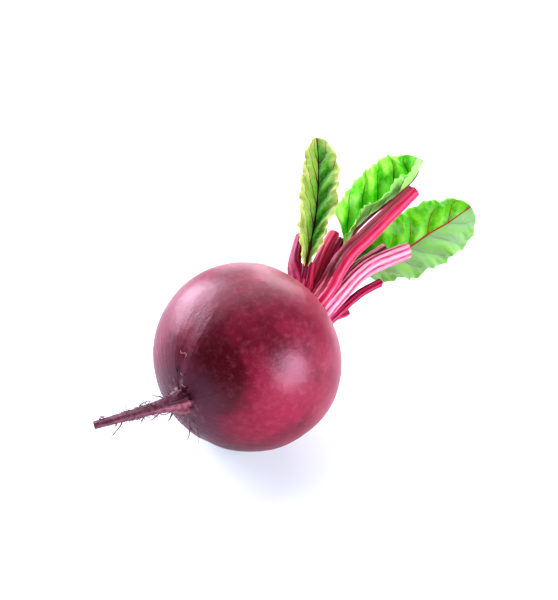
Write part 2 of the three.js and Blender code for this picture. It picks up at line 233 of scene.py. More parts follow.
def beetSkinMaterial():
    look = beetSkin
    material, tree, shader = newMaterial("washed beetroot skin")
    place = addNode(tree, "TexCoord", output="Object")
    meridian = addNode(tree, "Attribute", output="Vector", attribute_name="meridian")
    keys = ("along", "scar", "paintedBounceGlow", "paintedShade", "ridge")
    fields = [addNode(tree, "Attribute", output="Fac", attribute_name=key) for key in keys]
    along, scar, paintedBounceGlow, paintedShade, ridge = fields
    patch = addNode(tree, "TexNoise", {"Vector": place, "Scale": perMm(look["patchSize"]), "Detail": 5})
    mottleSize = {"Scale": perMm(look["mottleSize"]), "Detail": 6, "Roughness": 0.65}
    mottle = addNode(tree, "TexNoise", {"Vector": place, **mottleSize})
    grainSize = {"Scale": perMm(look["grainSize"]), "Detail": 3, "Roughness": 0.6}
    grain = addNode(tree, "TexNoise", {"Vector": place, **grainSize})
    streakSize = {"Scale": look["streaksToRadius"], "Detail": 6, "Roughness": 0.65}
    streak = addNode(tree, "TexNoise", {"Vector": meridian, **streakSize})
    pores = addNode(tree, "TexVoronoi", {"Vector": place, "Scale": perMm(look["poreSpacing"])})

    # layers of colour from the bottom up: what each follows, from where, fully at, how much, and its colour
    layers = [
        (patch, 0.36, 0.64, 1, look["wine"]),
        # painted light: a redder glow of light bounced up from the floor, then a patch of painted shade
        (paintedBounceGlow, 0, 1, 1, look["paintedBounceGlow"]),
        (paintedShade, 0, 1, 1, look["paintedShade"]),
        (along, 6, -32, 0.7, look["crownSide"]),
        (mottle, 0.42, 0.8, 0.3, look["crownSide"]),
        (mottle, 0.5, 0.26, 0.45, look["wine"]),
        (along, 28, 38, 0.8, look["tailSide"]),
        # pale streaks on the crests of the wrinkle bump and dark ones in its hollows: painted highlight and
        # painted shade
        (streak, 0.58, 0.8, 0.1, look["poreTintAndStreakHighlight"]),
        (streak, 0.44, 0.25, 0.25, look["paintedShade"]),
        (along, 37, 44, 0.85, look["taproot"]),
        # paler on raised ridges and knobs, darker in grooves: knob tint, with painted highlight on the ridges
        # and painted shade in the grooves
        (ridge, 0.05, 0.5, 0.5, look["knobTintAndRidgeHighlight"]),
        (ridge, -0.05, -0.45, 0.9, look["groove"]),
        (pores, 0.14, 0.07, 0.1, look["poreTintAndStreakHighlight"]),
        (along, -33.2, -35, 0.85, look["neck"]),
        (scar, 0.2, 0.8, 0.9, look["scar"]),
    ]
    colour = look["deep"]
    for follows, start, full, most, over in layers:
        amount = addNode(tree, "MapRange", [follows, start, full, 0, most], interpolation_type="SMOOTHSTEP")
        colour = addNode(tree, "MixRGB", [amount, colour, over])
    tree.links.new(colour, shader.inputs["Base Color"])

    low, high = look["roughness"]
    tree.links.new(addNode(tree, "MapRange", [mottle, 0.3, 0.7, low, high]), shader.inputs["Roughness"])
    nearTail = addNode(tree, "MapRange", [along, 0, 34, 0.12, 0.75], interpolation_type="SMOOTHSTEP")
    wrinkles = addNode(tree, "Math", [streak, nearTail], operation="MULTIPLY")
    bump = addNode(tree, "Bump", {"Height": wrinkles, "Strength": 0.5, "Distance": 0.5 * mm})
    bump = addNode(tree, "Bump", {"Height": mottle, "Strength": 0.35, "Distance": 0.25 * mm, "Normal": bump})
    bump = addNode(tree, "Bump", {"Height": grain, "Strength": 0.4, "Distance": 0.08 * mm, "Normal": bump})
    tree.links.new(bump, shader.inputs["Normal"])
    shader.inputs["IOR"].default_value = look["ior"]
    shader.inputs["Specular IOR Level"].default_value = look["specular"]
    return material


# The root

beetRoot = {
    "bulbRadius": 38.2,  # at the widest ring, across the axis
    "bulbToTail": 37.5,
    "bulbToCrown": 33.2,
    "tailFullness": 2.02,
    "crownFullness": 2.25,
    "bulbHeight": 36.9,  # of the bulb's middle above the table
    "axisHeading": 227,  # degrees from +X that the taproot leaves at
    "axisDip": 4.5,
    "neckRadius": 12.5,
    "neckShoulder": 35,
    "neckEnd": 38.5,
    "neckFullness": 2.4,
    "neckRise": (20, 31),  # towards the crown, where the neck grows in
    "taprootRise": (20, 34),  # towards the tail, where the taproot grows in
    "taprootStart": 33,
    "taprootRadius": 5.2,
    "taprootTipRadius": 1.5,
    "taprootTaper": 12.4,
    "taprootLine": [(-32.3, -33.4, 35.5), (-42.5, -37.8, 34.9), (-58.3, -42.3, 32.4)],
    "tilting": (2.5, 9),  # past the taproot's start, where the rings begin to follow its line and fully do
    "streakStretch": 160,  # millimetres along the root to one unit of the lengthwise pattern
    "rings": 310,
    "sides": 232,
}
heading = math.radians(beetRoot["axisHeading"])
dip = math.radians(beetRoot["axisDip"])
bulbMiddle = vec(0, 0, beetRoot["bulbHeight"])
taprootWay = vec(math.cos(heading) * math.cos(dip), math.sin(heading) * math.cos(dip), -math.sin(dip))
crownWay = -taprootWay
crownUp = squaredTo(vec(0, 0, 1), crownWay)
crownSide = np.cross(crownWay, crownUp)
taprootStraight = [bulbMiddle + (beetRoot["taprootStart"] + ahead) * taprootWay for ahead in (0, 5)]
taprootCurve = lineThrough(taprootStraight + beetRoot["taprootLine"])
taprootEnd = beetRoot["taprootStart"] + taprootCurve[1][-1]


def crownPoint(along, degrees, distance):
    turn = math.radians(degrees)
    out = math.cos(turn) * crownSide + math.sin(turn) * crownUp
    return bulbMiddle + along * crownWay + distance * out


def ovalRadius(along, reach, radius, fullness):
    return radius * (1 - np.clip(along / reach, 0, 1) ** fullness) ** (1 / fullness)


# The root's radius at a distance from its widest ring, towards the crown where that is negative
def rootRadius(along):
    b = beetRoot
    tailBulb = ovalRadius(along, b["bulbToTail"], b["bulbRadius"], b["tailFullness"])
    fade = np.exp(-np.maximum(along - b["taprootStart"], 0) / b["taprootTaper"])
    taproot = smoothstep(along, *b["taprootRise"]) * lerp(b["taprootTipRadius"], b["taprootRadius"], fade)
    crownBulb = ovalRadius(-along, b["bulbToCrown"], b["bulbRadius"], b["crownFullness"])
    capLength = b["neckEnd"] + 0.2 - b["neckShoulder"]  # past the end, which leaves a small flat there
    neck = ovalRadius(-along - b["neckShoulder"], capLength, b["neckRadius"], b["neckFullness"])
    neck = neck * smoothstep(-along, *b["neckRise"])
    tailRadius = (tailBulb**3 + taproot**3) ** (1 / 3)
    crownRadius = (crownBulb**4 + neck**4) ** (1 / 4)
    return np.where(along > 0, tailRadius, crownRadius)


# Broad relief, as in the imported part: heights in millimetres, turns in degrees
rootForm = {
    "oval": 0.018,  # share of the bulb's radius
    "ovalTurn": 155,
    "lobes": 0.006,  # share of the bulb's radius
    "bulbReach": 30,
    "furrowDepth": 0.75,
    "furrowTurn": 5,
    "furrowWidth": 0.16,
    "furrowRise": (8, 34),  # along the axis, where the furrows grow in
    "neckRise": (29, 33),  # towards the crown, where the corky neck grows in
    "neckRings": 0.35,
    "neckRibs": 0.3,
}


def rootRelief(along, angle):
    form = rootForm
    oval = form["oval"] * np.cos(2 * (angle - math.radians(form["ovalTurn"])))
    lobes = form["lobes"] * np.cos(3 * angle - 1 + along / 20)
    broad = beetRoot["bulbRadius"] * np.exp(-((along / form["bulbReach"]) ** 4)) * (oval + lobes)
    nearTail = smoothstep(along, *form["furrowRise"]) * np.minimum(1, rootRadius(along) / 8)
    furrows = hump(np.cos(angle - math.radians(form["furrowTurn"])), 0, form["furrowWidth"])
    nearNeck = smoothstep(-along, *form["neckRise"])
    corkyRings = form["neckRings"] * np.cos(along * 2.6) + form["neckRibs"] * np.cos(9 * angle)
    return broad - form["furrowDepth"] * nearTail * furrows + nearNeck * corkyRings


# The middle of a ring, the way the root runs there, and the two ways across it
def rootFrame(along):
    along = np.asarray(along, float)
    straight = bulbMiddle + along[..., None] * taprootWay
    share = (along - beetRoot["taprootStart"]) / (taprootEnd - beetRoot["taprootStart"])
    bent, bentWay = onLine(taprootCurve, share)
    curved = (along > beetRoot["taprootStart"])[..., None]
    centre = np.where(curved, bent, straight)
    # the wide rings of the bulb aren't tilted yet, or they would leave a crease
    tilted = smoothstep(along - beetRoot["taprootStart"], *beetRoot["tilting"])[..., None]
    way = unit(lerp(taprootWay, bentWay, tilted))
    up = squaredTo(vec(0, 0, 1), way)
    return centre, way, up, np.cross(up, way)


# Dark scars and knobs where side roots broke off: along the axis, degrees round it, size, height
rootScars = [
    (36.7, -60, 1.1, 0.25),
    (34.3, -102, 1.2, 0.3),
    (33.1, -88, 0.9, 0.2),
    (37.1, -94, 1.0, 0.3),
    (33.1, 95, 0.9, 0.3),
    (35.8, 84, 0.8, 0.3),
    (31.1, 100, 0.7, 0.2),
    (57.0, 140, 1.2, 0.6),
    (60.3, 112, 0.9, 0.5),
    (63.1, 152, 1.2, 0.6),
    (44.2, 133, 1.2, 0.5),
    (41.6, 120, 1.0, 0.4),
    (45.5, 96, 0.8, 0.45),
    (37.0, 128, 1.1, 0.35),
    (51.5, 268, 0.7, 0.4),
    (66.5, 262, 0.7, 0.4),
    (69.5, 200, 0.7, 0.4),
    (34.2, -61, 0.7, 0.2),
    (35.6, 104, 0.9, 0.3),
    (37.4, 30, 0.8, -0.15),
    (37.2, 100, 0.8, -0.15),
    (37.0, 66, 0.9, -0.2),
    (37.6, -8, 0.8, -0.15),
]
# Brownish swellings round the collar, where the bulb passes into the taproot, in the same way
rootKnobs = [
    (38.1, 13, 2.2, 0.6),
    (37.4, 119, 1.8, 0.6),
    (37.2, 60, 1.4, 0.4),
    (36.9, 88, 1.3, 0.4),
    (38.2, -28, 1.6, 0.4),
    (38.0, -167, 1.6, 0.4),
    (40.3, -51, 1.4, 0.3),
]


# How near each place on the root is to a spot, from 0 to 1
def spotAt(along, angle, spotAlong, degrees, size):
    turn = np.abs((angle - math.radians(degrees) + math.pi) % (2 * math.pi) - math.pi)
    distance = np.hypot(turn * rootRadius(np.array(spotAlong)), (along - spotAlong) * 1.3)
    return hump(distance, 0, 0.55 * size)


# Painted light on the skin: a redder patch that stands in for light bounced up from the floor, and a darker
# patch of painted shade. Each gives the way from the bulb's middle, and how near that way (as a cosine) it
# starts and is full
rootPatches = {
    "paintedBounceGlow": (vec(0.05, -0.995, -0.03), 0.76, 0.985),
    "paintedShade": (vec(-0.298, -0.905, 0.303), 0.9, 0.99),
    "strength": 0.85,
    "blotches": [(0.06, 14, 12), (0.03, 5, 13)],
}
# Fine relief of the skin: the height and size of the bumps, and a shift of their noise. Sizes are in
# millimetres, and shares of the root's radius for the streaks and ridges, which run lengthwise.
rootDetail = {
    "bulbEnd": (33, 42),  # along the axis, as are the next three
    "taprootRise": (34, 42),
    "tailRise": (20, 35),
    "neckRise": (31.5, 34),  # towards the crown
    "bulbSwells": (0.3, 17),
    "bulbDents": (0.1, 5, 3),
    "tailStreaks": (0.09, 0.13),
    "tailDents": (0.1, 3, 8),
    "ridges": (0.42, 0.8, 5),
    "fineRidges": (0.16, 0.25, 5),
    "knobs": (0.2, 1.5, 9),
    "folds": (0.1, 4, 2),
    "collarBumps": (0.4, 2.6, 6),
    "collarGrain": (0.2, 1, 6),
    "collar": (38.5, 2.2),  # along the axis, and its reach
    "flare": (39, 3),
    "flareHeight": 1.1,
    "neckBumps": (0.3, 2, 4),
    "neckRings": 0.25,
    "colourWander": (3.5, 11, 4),  # of the place along the axis that the bulb's colours follow
}


def patchAt(key, points, share):
    towards, start, full = rootPatches[key]
    nearness = unit(points - bulbMiddle) @ unit(towards)
    blotch, fineBlotch = (bumps(points, *sizes) for sizes in rootPatches["blotches"])
    return rootPatches["strength"] * smoothstep(nearness + (blotch + fineBlotch), start, full) * share


def buildRoot(material):
    detail = rootDetail
    fineAlong = np.linspace(-beetRoot["neckEnd"], taprootEnd, 6000)
    profile = rootRadius(fineAlong)
    travelled = np.concatenate([[0], np.cumsum(np.hypot(np.diff(fineAlong), np.diff(profile)))])
    along = np.interp(np.linspace(0, travelled[-1], beetRoot["rings"]), travelled, fineAlong)[:, None]
    angle = np.linspace(0, 2 * math.pi, beetRoot["sides"], endpoint=False)[None, :]
    centre, way, up, side = (a[:, 0, None, :] for a in rootFrame(along))
    out = side * np.cos(angle)[..., None] + up * np.sin(angle)[..., None]
    radius = rootRadius(along) + rootRelief(along, angle)
    points = centre + radius[..., None] * out

    # the bulb's swells, and streaks that run lengthwise towards the taproot
    onBulb = 1 - smoothstep(along, *detail["bulbEnd"])
    onTaproot = smoothstep(along, *detail["taprootRise"])
    radius = radius + onBulb * (bumps(points, *detail["bulbSwells"]) + bumps(points, *detail["bulbDents"]))
    lengthwise = (along + 0 * angle) / beetRoot["streakStretch"]
    meridian = np.stack([np.cos(angle) + 0 * along, np.sin(angle) + 0 * along, lengthwise], -1)
    nearTail = smoothstep(along, *detail["tailRise"]) * (1 - 0.6 * onTaproot)
    radius = radius + nearTail * bumps(meridian, *detail["tailStreaks"]) * np.minimum(1, radius / 8)
    radius = radius + nearTail * bumps(points, *detail["tailDents"])

    # the taproot's ridges, knobs and folds, and the collar that it grows from
    ridges = bumps(meridian * vec(1, 1, 2), *detail["ridges"])
    ridges = ridges + bumps(meridian * vec(1, 1, 4), *detail["fineRidges"])
    folds = np.sin(along * 3.1 + 2.5 * unevenness(points, 6)) * bumps(points, *detail["folds"])
    collar = bumps(points, *detail["collarBumps"]) + bumps(points, *detail["collarGrain"])
    raised = onTaproot * (ridges + bumps(points, *detail["knobs"]) + folds)
    raised = raised + collar * hump(along, *detail["collar"])
    # the relief's height, which the colours follow: painted highlight on ridges, painted shade in grooves
    ridge = 2 * raised
    radius = radius + raised + detail["flareHeight"] * hump(along, *detail["flare"])

    # the corky neck
    corkyRings = detail["neckRings"] * np.sin(-along * 5 + unevenness(points, 5))
    corky = bumps(points, *detail["neckBumps"]) + corkyRings
    radius = radius + smoothstep(-along, *detail["neckRise"]) * corky

    # painted bounce light and painted shade, as fields of the skin
    paintedBounceGlow = patchAt("paintedBounceGlow", points, onBulb)
    paintedShade = patchAt("paintedShade", points, onBulb)
    scar = 0 * radius
    for *place, height in rootScars:
        spot = spotAt(along, angle, *place)
        scar = np.maximum(scar, spot)
        radius = radius + height * spot
    for *place, height in rootKnobs:
        spot = spotAt(along, angle, *place)
        ridge = ridge + 0.35 * spot
        radius = radius + height * spot
    points = centre + radius[..., None] * out
    points[..., 2] = np.maximum(points[..., 2], 0)  # the flat that the root rests on
    attributes = {
        "along": withMiddles(along + bumps(points, *detail["colourWander"]) * onBulb),
        "scar": withMiddles(scar),
        "paintedBounceGlow": withMiddles(paintedBounceGlow),
        "paintedShade": withMiddles(paintedShade),
        "ridge": withMiddles(ridge),
        "meridian": withMiddles(meridian),
    }
    faces = tubeFaces(beetRoot["rings"], beetRoot["sides"])
    root = makeObject("beetrootSkin", withMiddles(points), faces, attributes, material)
    standFor(root, ["beet_root"])


# Side roots and hairs. Each starts on the skin, along the axis and at degrees round it, and goes on by
# steps in millimetres: towards the taproot's tip, outwards, and sideways.
sideRoots = {
    "radius": 0.3,
    "tipShare": 0.35,  # of the radius, at the tip
    "rings": 14,
    "sides": 6,
    "strands": [
        (63.6, 276, [(1.2, 1.6, 0), (2.8, 2.9, 0.3), (4.9, 4.3, 0.5), (6.1, 6.2, 0.4)]),
        (63.6, 276, [(1.2, 1.6, 0), (2.8, 2.9, 0.3), (4.3, 4.6, -0.3), (4.6, 6.0, -0.9)]),
        (62.3, 268, [(-2, 0.8, 0), (-4.8, 0.9, 0.4), (-7, 0.5, 0.3)]),
        (54.5, 268, [(0.9, 1.2, 0), (2, 2.7, 0.3), (2.6, 3.4, 0.5)]),
        (48.6, 262, [(-0.9, 1.4, 0), (-2.4, 2.3, 0), (-4.2, 2.1, 0), (-5.4, 1.2, 0)]),
        (48, 262, [(1.2, 1.7, 0), (2.8, 3.2, -0.4), (4, 4.5, -0.6)]),
        (42.5, 290, [(1.1, 1.4, 0), (2.2, 2.9, 0.2), (3.4, 3.6, 0)]),
        (39, 252, [(1.2, 1.8, 0), (2.6, 3.4, 0.4), (3.8, 4.6, 0.4)]),
        (70, 100, [(0.6, 0.7, 0), (1.3, 1.3, 0.3), (1.9, 1.5, 0.6)]),
        (72, 110, [(-0.7, 0.5, 0), (-1.6, 0.8, 0), (-2.7, 0.4, 0)]),
        (56, 128, [(-1.1, 0.8, 0), (-3, 1.2, 0), (-5.1, 0.9, 0.3)]),
        (45, 150, [(1.2, 1.2, 0), (2.6, 2.4, 0.6), (3.8, 3.4, 1.2)]),
        (60, 190, [(1, 1.3, 0), (2.2, 2.3, 0), (3, 3, -0.4)]),
        (66, 286, [(0.5, 0.7, 0), (1.2, 1, 0.2)]),
        (34, 268, [(0.6, 1.6, 0), (1.2, 3, 0.3), (2.4, 4.2, 0.3)]),
    ],
}
longHairs = {
    "radius": 0.13,
    "tipShare": 0.5,
    "rings": 12,
    "sides": 5,
    "strands": [
        (43, 275, [(-1, 1.2, 0), (-3, 2.2, 0), (-6, 2.6, 0.2), (-8.5, 1.8, 0.6)]),
        (36.4, 284, [(0.6, 2, 0), (0.5, 4, 0.4), (-0.2, 6, 0.7), (0.1, 7.6, 0.4)]),
        (37.5, 280, [(1, 1.5, 0), (2.4, 3, -0.3), (4, 3.7, -0.5), (5.6, 3.5, 0)]),
        (35.2, 292, [(0.5, 1.6, 0), (1.6, 3.2, 0.5), (2.1, 5, 0.3)]),
        (49, 256, [(0.8, 1.4, 0.2), (1.2, 3.2, 0.6), (0.4, 4.8, 0.9), (0.8, 6, 0.6)]),
        (58, 270, [(-0.9, 1.2, 0.3), (-2.6, 2.4, 0.5), (-3.4, 3.8, 0.2)]),
        (53, 95, [(-1.1, 1.2, 0), (-3.1, 2.2, 0.5), (-5.4, 2.1, 0.9), (-6.6, 1.2, 0.8)]),
    ],
}
paleHairs = {
    "radius": 0.13,
    "tipShare": 0.5,
    "rings": 12,
    "sides": 5,
    "strands": [
        (32.2, 91, [(0.5, 0.4, 0.7), (1.3, 0.3, 1.6), (0.7, 0.7, 2.5)]),
        (32.6, 94, [(-0.3, 0.4, -0.6), (0.2, 0.6, -1.5), (1.2, 0.4, -1.9)]),
        (34.6, 103, [(-0.4, 0.4, -0.6), (-1.2, 0.4, -1.3), (-2.1, 0.3, -0.8)]),
        (35.8, 88, [(0.3, 0.5, 0.6), (-0.5, 0.6, 1.5), (-1.4, 0.3, 1.2)]),
        (36.8, 84, [(0.5, 0.4, -0.4), (1, 0.7, -1.2), (0.6, 0.5, -2)]),
        (37.6, 112, [(0.4, 0.6, 0.5), (1.4, 0.8, 1), (2.4, 0.3, 0.8)]),
    ],
}
fineHairs = {
    "count": 150,
    "radius": 0.09,
    "tipShare": 0.5,
    "rings": 8,
    "sides": 4,
    "length": (0.8, 5),
    "reach": (34, 68),  # along the axis
    "furrows": (95, 275),
    "spread": 13,  # degrees either side of a furrow on the bulb, and more on the thin taproot
    "lean": 0.9,
    "bend": 0.7,
}


def strandPath(along, degrees, steps):
    centre, way, up, side = rootFrame(along)
    turn = math.radians(degrees)
    out = side * math.cos(turn) + up * math.sin(turn)
    skin = centre + out * float(rootRadius(np.array(along)) + rootRelief(np.array(along), turn))
    path = [skin - 0.7 * out, skin]  # the first point is under the skin
    for ahead, outwards, sideways in steps:
        path.append(skin + ahead * way + outwards * out + sideways * np.cross(way, out))
    path = np.array(path)
    path[:, 2] = np.maximum(path[:, 2], 0.2)  # clear of the floor
    return path


def strandMesh(path, kind):
    share = np.linspace(0, 1, kind["rings"])
    place, way = onLine(lineThrough(path, 10), share)
    up = squaredTo(vec(0.21, 0.13, 1), way)
    side = np.cross(up, way)
    angle = np.linspace(0, 2 * math.pi, kind["sides"], endpoint=False)[None, :, None]
    thickness = (kind["radius"] * lerp(1, kind["tipShare"], share))[:, None, None]
    return place[:, None] + thickness * (side[:, None] * np.cos(angle) + up[:, None] * np.sin(angle))


def joinTubes(tubes):
    points = []
    faces = []
    count = 0
    for tube in tubes:
        points.append(withMiddles(tube))
        faces += tubeFaces(tube.shape[0], tube.shape[1], count)
        count += len(points[-1])
    return np.concatenate(points), faces


def strandTubes(kind, strands):
    return [strandMesh(strandPath(along, degrees, steps), kind) for along, degrees, steps in strands]


def fineHairStrands():
    strands = []
    for i in range(fineHairs["count"]):
        along = chance.uniform(*fineHairs["reach"])
        spread = fineHairs["spread"] * chance.normal() * (1 + max(along - 38, 0) / 12)
        length = chance.uniform(*fineHairs["length"])
        lean = chance.uniform(-fineHairs["lean"], fineHairs["lean"])
        bend = chance.uniform(-fineHairs["bend"], fineHairs["bend"])
        steps = [
            (0.4 * length * lean, 0.35 * length, 0.2 * length * bend),
            (0.8 * length * lean, 0.5 * length, 0.6 * length * bend),
            (length * lean, 0.45 * length, length * bend),
        ]
        strands.append((along, fineHairs["furrows"][i % 2] + spread, steps))
    return strands


# The skin's fields for small tubes, coloured as the root is at a place along its axis
def skinFields(points, along, patternSize):
    return {
        "along": np.full(len(points), along, float),
        "scar": np.zeros(len(points)),
        "meridian": points / patternSize,
    }


def buildSideRoots(material):
    points, faces = joinTubes(strandTubes(sideRoots, sideRoots["strands"]))
    piece = makeObject("sideRoots", points, faces, skinFields(points, 62, 30), material)
    standFor(piece, ["beet_root"])


# Root hairs: dry and thin, so they hardly shine. They are dark brown, or bleached where they lie on the skin.
hairLooks = {
    "dry": {"name": "dry root hair", "colour": "#4e3630", "roughness": 0.7},
    "bleached": {"name": "bleached root hair", "colour": "#c49ea0", "roughness": 0.7},
}


def buildHairs(name, tubes, look):
    material, tree, shader = newMaterial(look["name"])
    shader.inputs["Base Color"].default_value = linear(look["colour"])
    shader.inputs["Roughness"].default_value = look["roughness"]
    points, faces = joinTubes(tubes)
    piece = makeObject(name, points, faces, {}, material)
    standFor(piece, ["beet_root"])


# Stalks

stalkRibs = {
    "count": 8,
    "turn": 33.75,
    "fineCount": 24,
    "grooveWidth": 0.5,
}


# A ribbed crescent round each place of a line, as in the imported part, with finer ribs between
def stalkTube(place, way, inner, width, depth, shape):
    up = squaredTo(inner, way)[:, None]
    side = np.cross(up[:, 0], way)[:, None]
    angle = np.linspace(0, 2 * math.pi, shape["sides"], endpoint=False)[None, :]
    rib = np.cos(stalkRibs["count"] * (angle - math.radians(stalkRibs["turn"])))
    fineRib = np.cos(stalkRibs["fineCount"] * angle + 1)
    size = 1 + 0.5 * shape["ribs"] * rib + shape["fineRibs"] * fineRib
    across = np.cos(angle)
    high = np.sin(angle)
    groove = shape["groove"] * hump(across, 0, stalkRibs["grooveWidth"])
    hollow = np.where(high > 0, groove, 0) * depth[:, None]
    sideways = 0.5 * width[:, None] * across * size
    upwards = 0.5 * depth[:, None] * high * size - hollow
    points = place[:, None] + sideways[..., None] * side + upwards[..., None] * up
    return points, angle, rib


# The pattern's fields on a stalk: round it, and along it in units of its stretch
def lengthwiseField(angle, share, length, number):
    flat = share + 0 * angle
    around = [np.cos(angle) + 0 * flat, np.sin(angle) + 0 * flat]
    return np.stack([*around, flat * length / stalkPatterns["streakStretch"] + number], -1)


cutStalkShape = {
    "footAlong": 32,
    "footShare": 0.92,  # of the stalk's distance from the axis, at its foot
    "ribs": 0.09,
    "groove": 0.16,
    "grooveShadeWidth": 0.62,  # the width of the painted shade in the groove
    "fineRibs": 0.012,
    "bumps": (0.16, 4),
    "fineBumps": (0.05, 1.3),
    "sides": 96,
    "rings": 72,
    "rimRadius": 0.35,
    # the rounded rim and the cut face: share of the rim's width, height by the rim's radius, and cut colour
    "cutRings": [(0.93, 0.22, 0.2), (0.8, 0.3, 1), (0.6, 0.22, 1), (0.35, 0.1, 1), (0.12, 0.05, 1)],
    "cutBumps": (0.12, 1.1),
}
cutStalks = [
    {
        "name": "cut_stalk_1",
        "finish": "crimson",
        "at": (60, 8.2),  # degrees round the root's axis and distance from it
        "width": (10, 8.8, 6.6),  # at the foot, half way and at the cut
        "depth": (6, 7, 6),
        "through": [(31.4, 28.9, 51.4), (39.7, 41, 60.2), (48.5, 49.3, 65.3), (69.4, 67.3, 78.2)],
        "inner": (-0.6, -0.3, 0.75),
    },
    {
        "name": "cut_stalk_2",
        "finish": "blush",
        "at": (6, 8.4),
        "width": (9, 7.8, 7.6),
        "depth": (4.8, 5, 4.8),
        "through": [(34.5, 29, 44.2), (45.5, 43, 50.2), (52, 48.7, 52.2), (67.5, 59, 53.6)],
    },
    {
        "name": "cut_stalk_3",
        "finish": "magenta",
        "at": (130, 8.4),
        "width": (8, 7, 6),
        "depth": (4.8, 4.6, 4),
        "through": [(20.6, 30.4, 50.3), (18.9, 41, 56.8), (21.6, 52.6, 64.3)],
    },
    {
        "name": "cut_stalk_4",
        "finish": "crimson",
        "at": (100, 5),
        "width": (6, 5.6, 4.8),
        "depth": (4, 4.2, 3.8),
        "through": [(25.5, 35.5, 50.2), (31.8, 50.6, 58.9), (35.8, 58.4, 62.4)],
    },
    {
        "name": "cut_stalk_5",
        "finish": "magenta",
        "at": (-42, 8.4),
        "width": (8, 5.6, 5),
        "depth": (4.4, 4, 3.8),
        "through": [(34.5, 27, 39.2), (45.5, 41, 42.2), (55, 52, 41.7)],
    },
    {
        "name": "cut_stalk_6",
        "finish": "blush",
        "at": (18, 3.6),
        "width": (5, 5.2, 5.2),
        "depth": (3.6, 3.8, 3.6),
        "through": [(36, 38.5, 45.2), (44.7, 50.7, 49.2), (58, 63.7, 51.6)],
    },
    {
        "name": "cut_stalk_7",
        "finish": "magenta",
        "at": (68, 3.4),
        "width": (4.4, 4.6, 4.4),
        "depth": (3, 3.4, 3.2),
        "through": [(29, 39, 49.2), (34.4, 51.7, 54.9), (38.6, 61, 57.9)],
    },
    {
        "name": "cut_stalk_8",
        "finish": "crimson",
        "at": (188, 8.4),
        "width": (8, 6.4, 5.6),
        "depth": (4.4, 4.2, 3.8),
        "through": [(17.5, 35, 42.2), (19.5, 47, 44.7), (22.5, 60, 44.2)],
    },
    {
        "name": "cut_stalk_9",
        "finish": "magenta",
        "at": (250, 8.4),
        "width": (8.4, 6.4, 5.6),
        "depth": (4.6, 4.2, 3.8),
        "through": [(26, 34, 31.7), (33, 44, 29.7), (41, 55, 26.2)],
    },
    {
        "name": "young_shoot",
        "finish": "crimson",
        "at": (97, 9.8),
        "width": (2.8, 3.2, 2),
        "depth": (2.6, 3, 2),
        "through": [(24.6, 30.8, 50.5), (25.3, 35.3, 54.4), (26.2, 39.7, 58.1)],
    },
]


def buildCutStalk(stalk, number, material):
    shape = cutStalkShape
    degrees, distance = stalk["at"]
    foot = crownPoint(shape["footAlong"], degrees, shape["footShare"] * distance)
    curve = lineThrough([foot] + stalk["through"])
    share = np.linspace(0, 1, shape["rings"])
    place, way = onLine(curve, share)
    inner = vec(*stalk["inner"]) if "inner" in stalk else crownPoint(shape["footAlong"], 0, 0) - foot
    width = threeWay(stalk["width"], share)
    depth = threeWay(stalk["depth"], share)
    points, angle, rib = stalkTube(place, way, inner, width, depth, shape)
    out = unit(points - place[:, None])
    rough = bumps(points, *shape["bumps"], number) + bumps(points, *shape["fineBumps"], number)
    points = points + rough[..., None] * out
    rim = points[-1]
    rings = [points]
    cut = [np.zeros(points.shape[:2])]
    for inward, ahead, cutShare in shape["cutRings"]:
        ring = place[-1] + inward * (rim - place[-1]) + ahead * shape["rimRadius"] * way[-1]
        ring = ring + bumps(ring, *shape["cutBumps"], number)[:, None] * way[-1]
        rings.append(ring[None])
        cut.append(np.full((1, shape["sides"]), cutShare))
    points = np.concatenate(rings)
    shareAll = np.concatenate([share, np.ones(len(shape["cutRings"]))])[:, None] + 0 * angle
    # where shade is painted: round the groove on the stalk's inner side
    groove = np.where(np.sin(angle) > 0, hump(np.cos(angle), 0, shape["grooveShadeWidth"]), 0) + 0 * shareAll
    attributes = {
        "rib": withMiddles(rib + 0 * shareAll),
        "groove": withMiddles(groove),
        "share": withMiddles(shareAll),
        "cut": withMiddles(np.concatenate(cut)),
        "lengthwise": withMiddles(lengthwiseField(angle, shareAll, curve[1][-1], number)),
    }
    faces = tubeFaces(len(points), shape["sides"])
    piece = makeObject(stalk["name"] + "_look", withMiddles(points), faces, attributes, material)
    standFor(piece, [stalk["name"]])


stalkPatterns = {
    "streaksToRadius": 5.5,  # so they are about 0.7 mm wide
    "streakStretch": 30,  # millimetres along the stalk to one unit of the lengthwise pattern
    "speckSize": 1.4,
    "dotSpacing": 1.1,
    "ior": 1.4,
    "specular": 0.35,
}
# Leaf stalks of beetroot: crisp, wet tissue under a smooth skin, ribbed lengthwise, so they shine
# along the ribs and show paler strings. The cut faces are paler, dotted where the strings end.
# The value of strings says how much the strings show between foot and cut.
# The groove colour is painted shade, in the groove along each stalk's inner side and at its foot, where the
# stalks crowd into the crown.
stalkLooks = {
    "crimson": {
        "name": "crimson leaf stalk",
        "flesh": "#be4460",
        "valley": "#a02244",
        "string": "#ee8aa4",
        "groove": "#7c1026",
        "cutFace": "#dc6f8c",
        "strings": 0.1,
        "roughness": 0.34,
    },
    "magenta": {
        "name": "magenta leaf stalk",
        "flesh": "#931040",
        "valley": "#5e0a2c",
        "string": "#cf6a92",
        "groove": "#4c0a20",
        "cutFace": "#c0587c",
        "strings": 0.18,
        "roughness": 0.38,
    },
    "blush": {
        "name": "blush leaf stalk",
        "flesh": "#c88894",
        "valley": "#8c1a42",
        "string": "#d8b2b6",
        "groove": "#a84468",
        "cutFace": "#e8b4c0",
        "strings": 0.7,
        "roughness": 0.34,
    },
    "leafStalk": {
        "name": "dark leaf stalk",
        "flesh": "#6a1430",
        "valley": "#420d1e",
        "string": "#9c3a55",
        "groove": "#4c0f20",
        "cutFace": "#a05060",
        "strings": 0.35,
        "roughness": 0.42,
    },
}


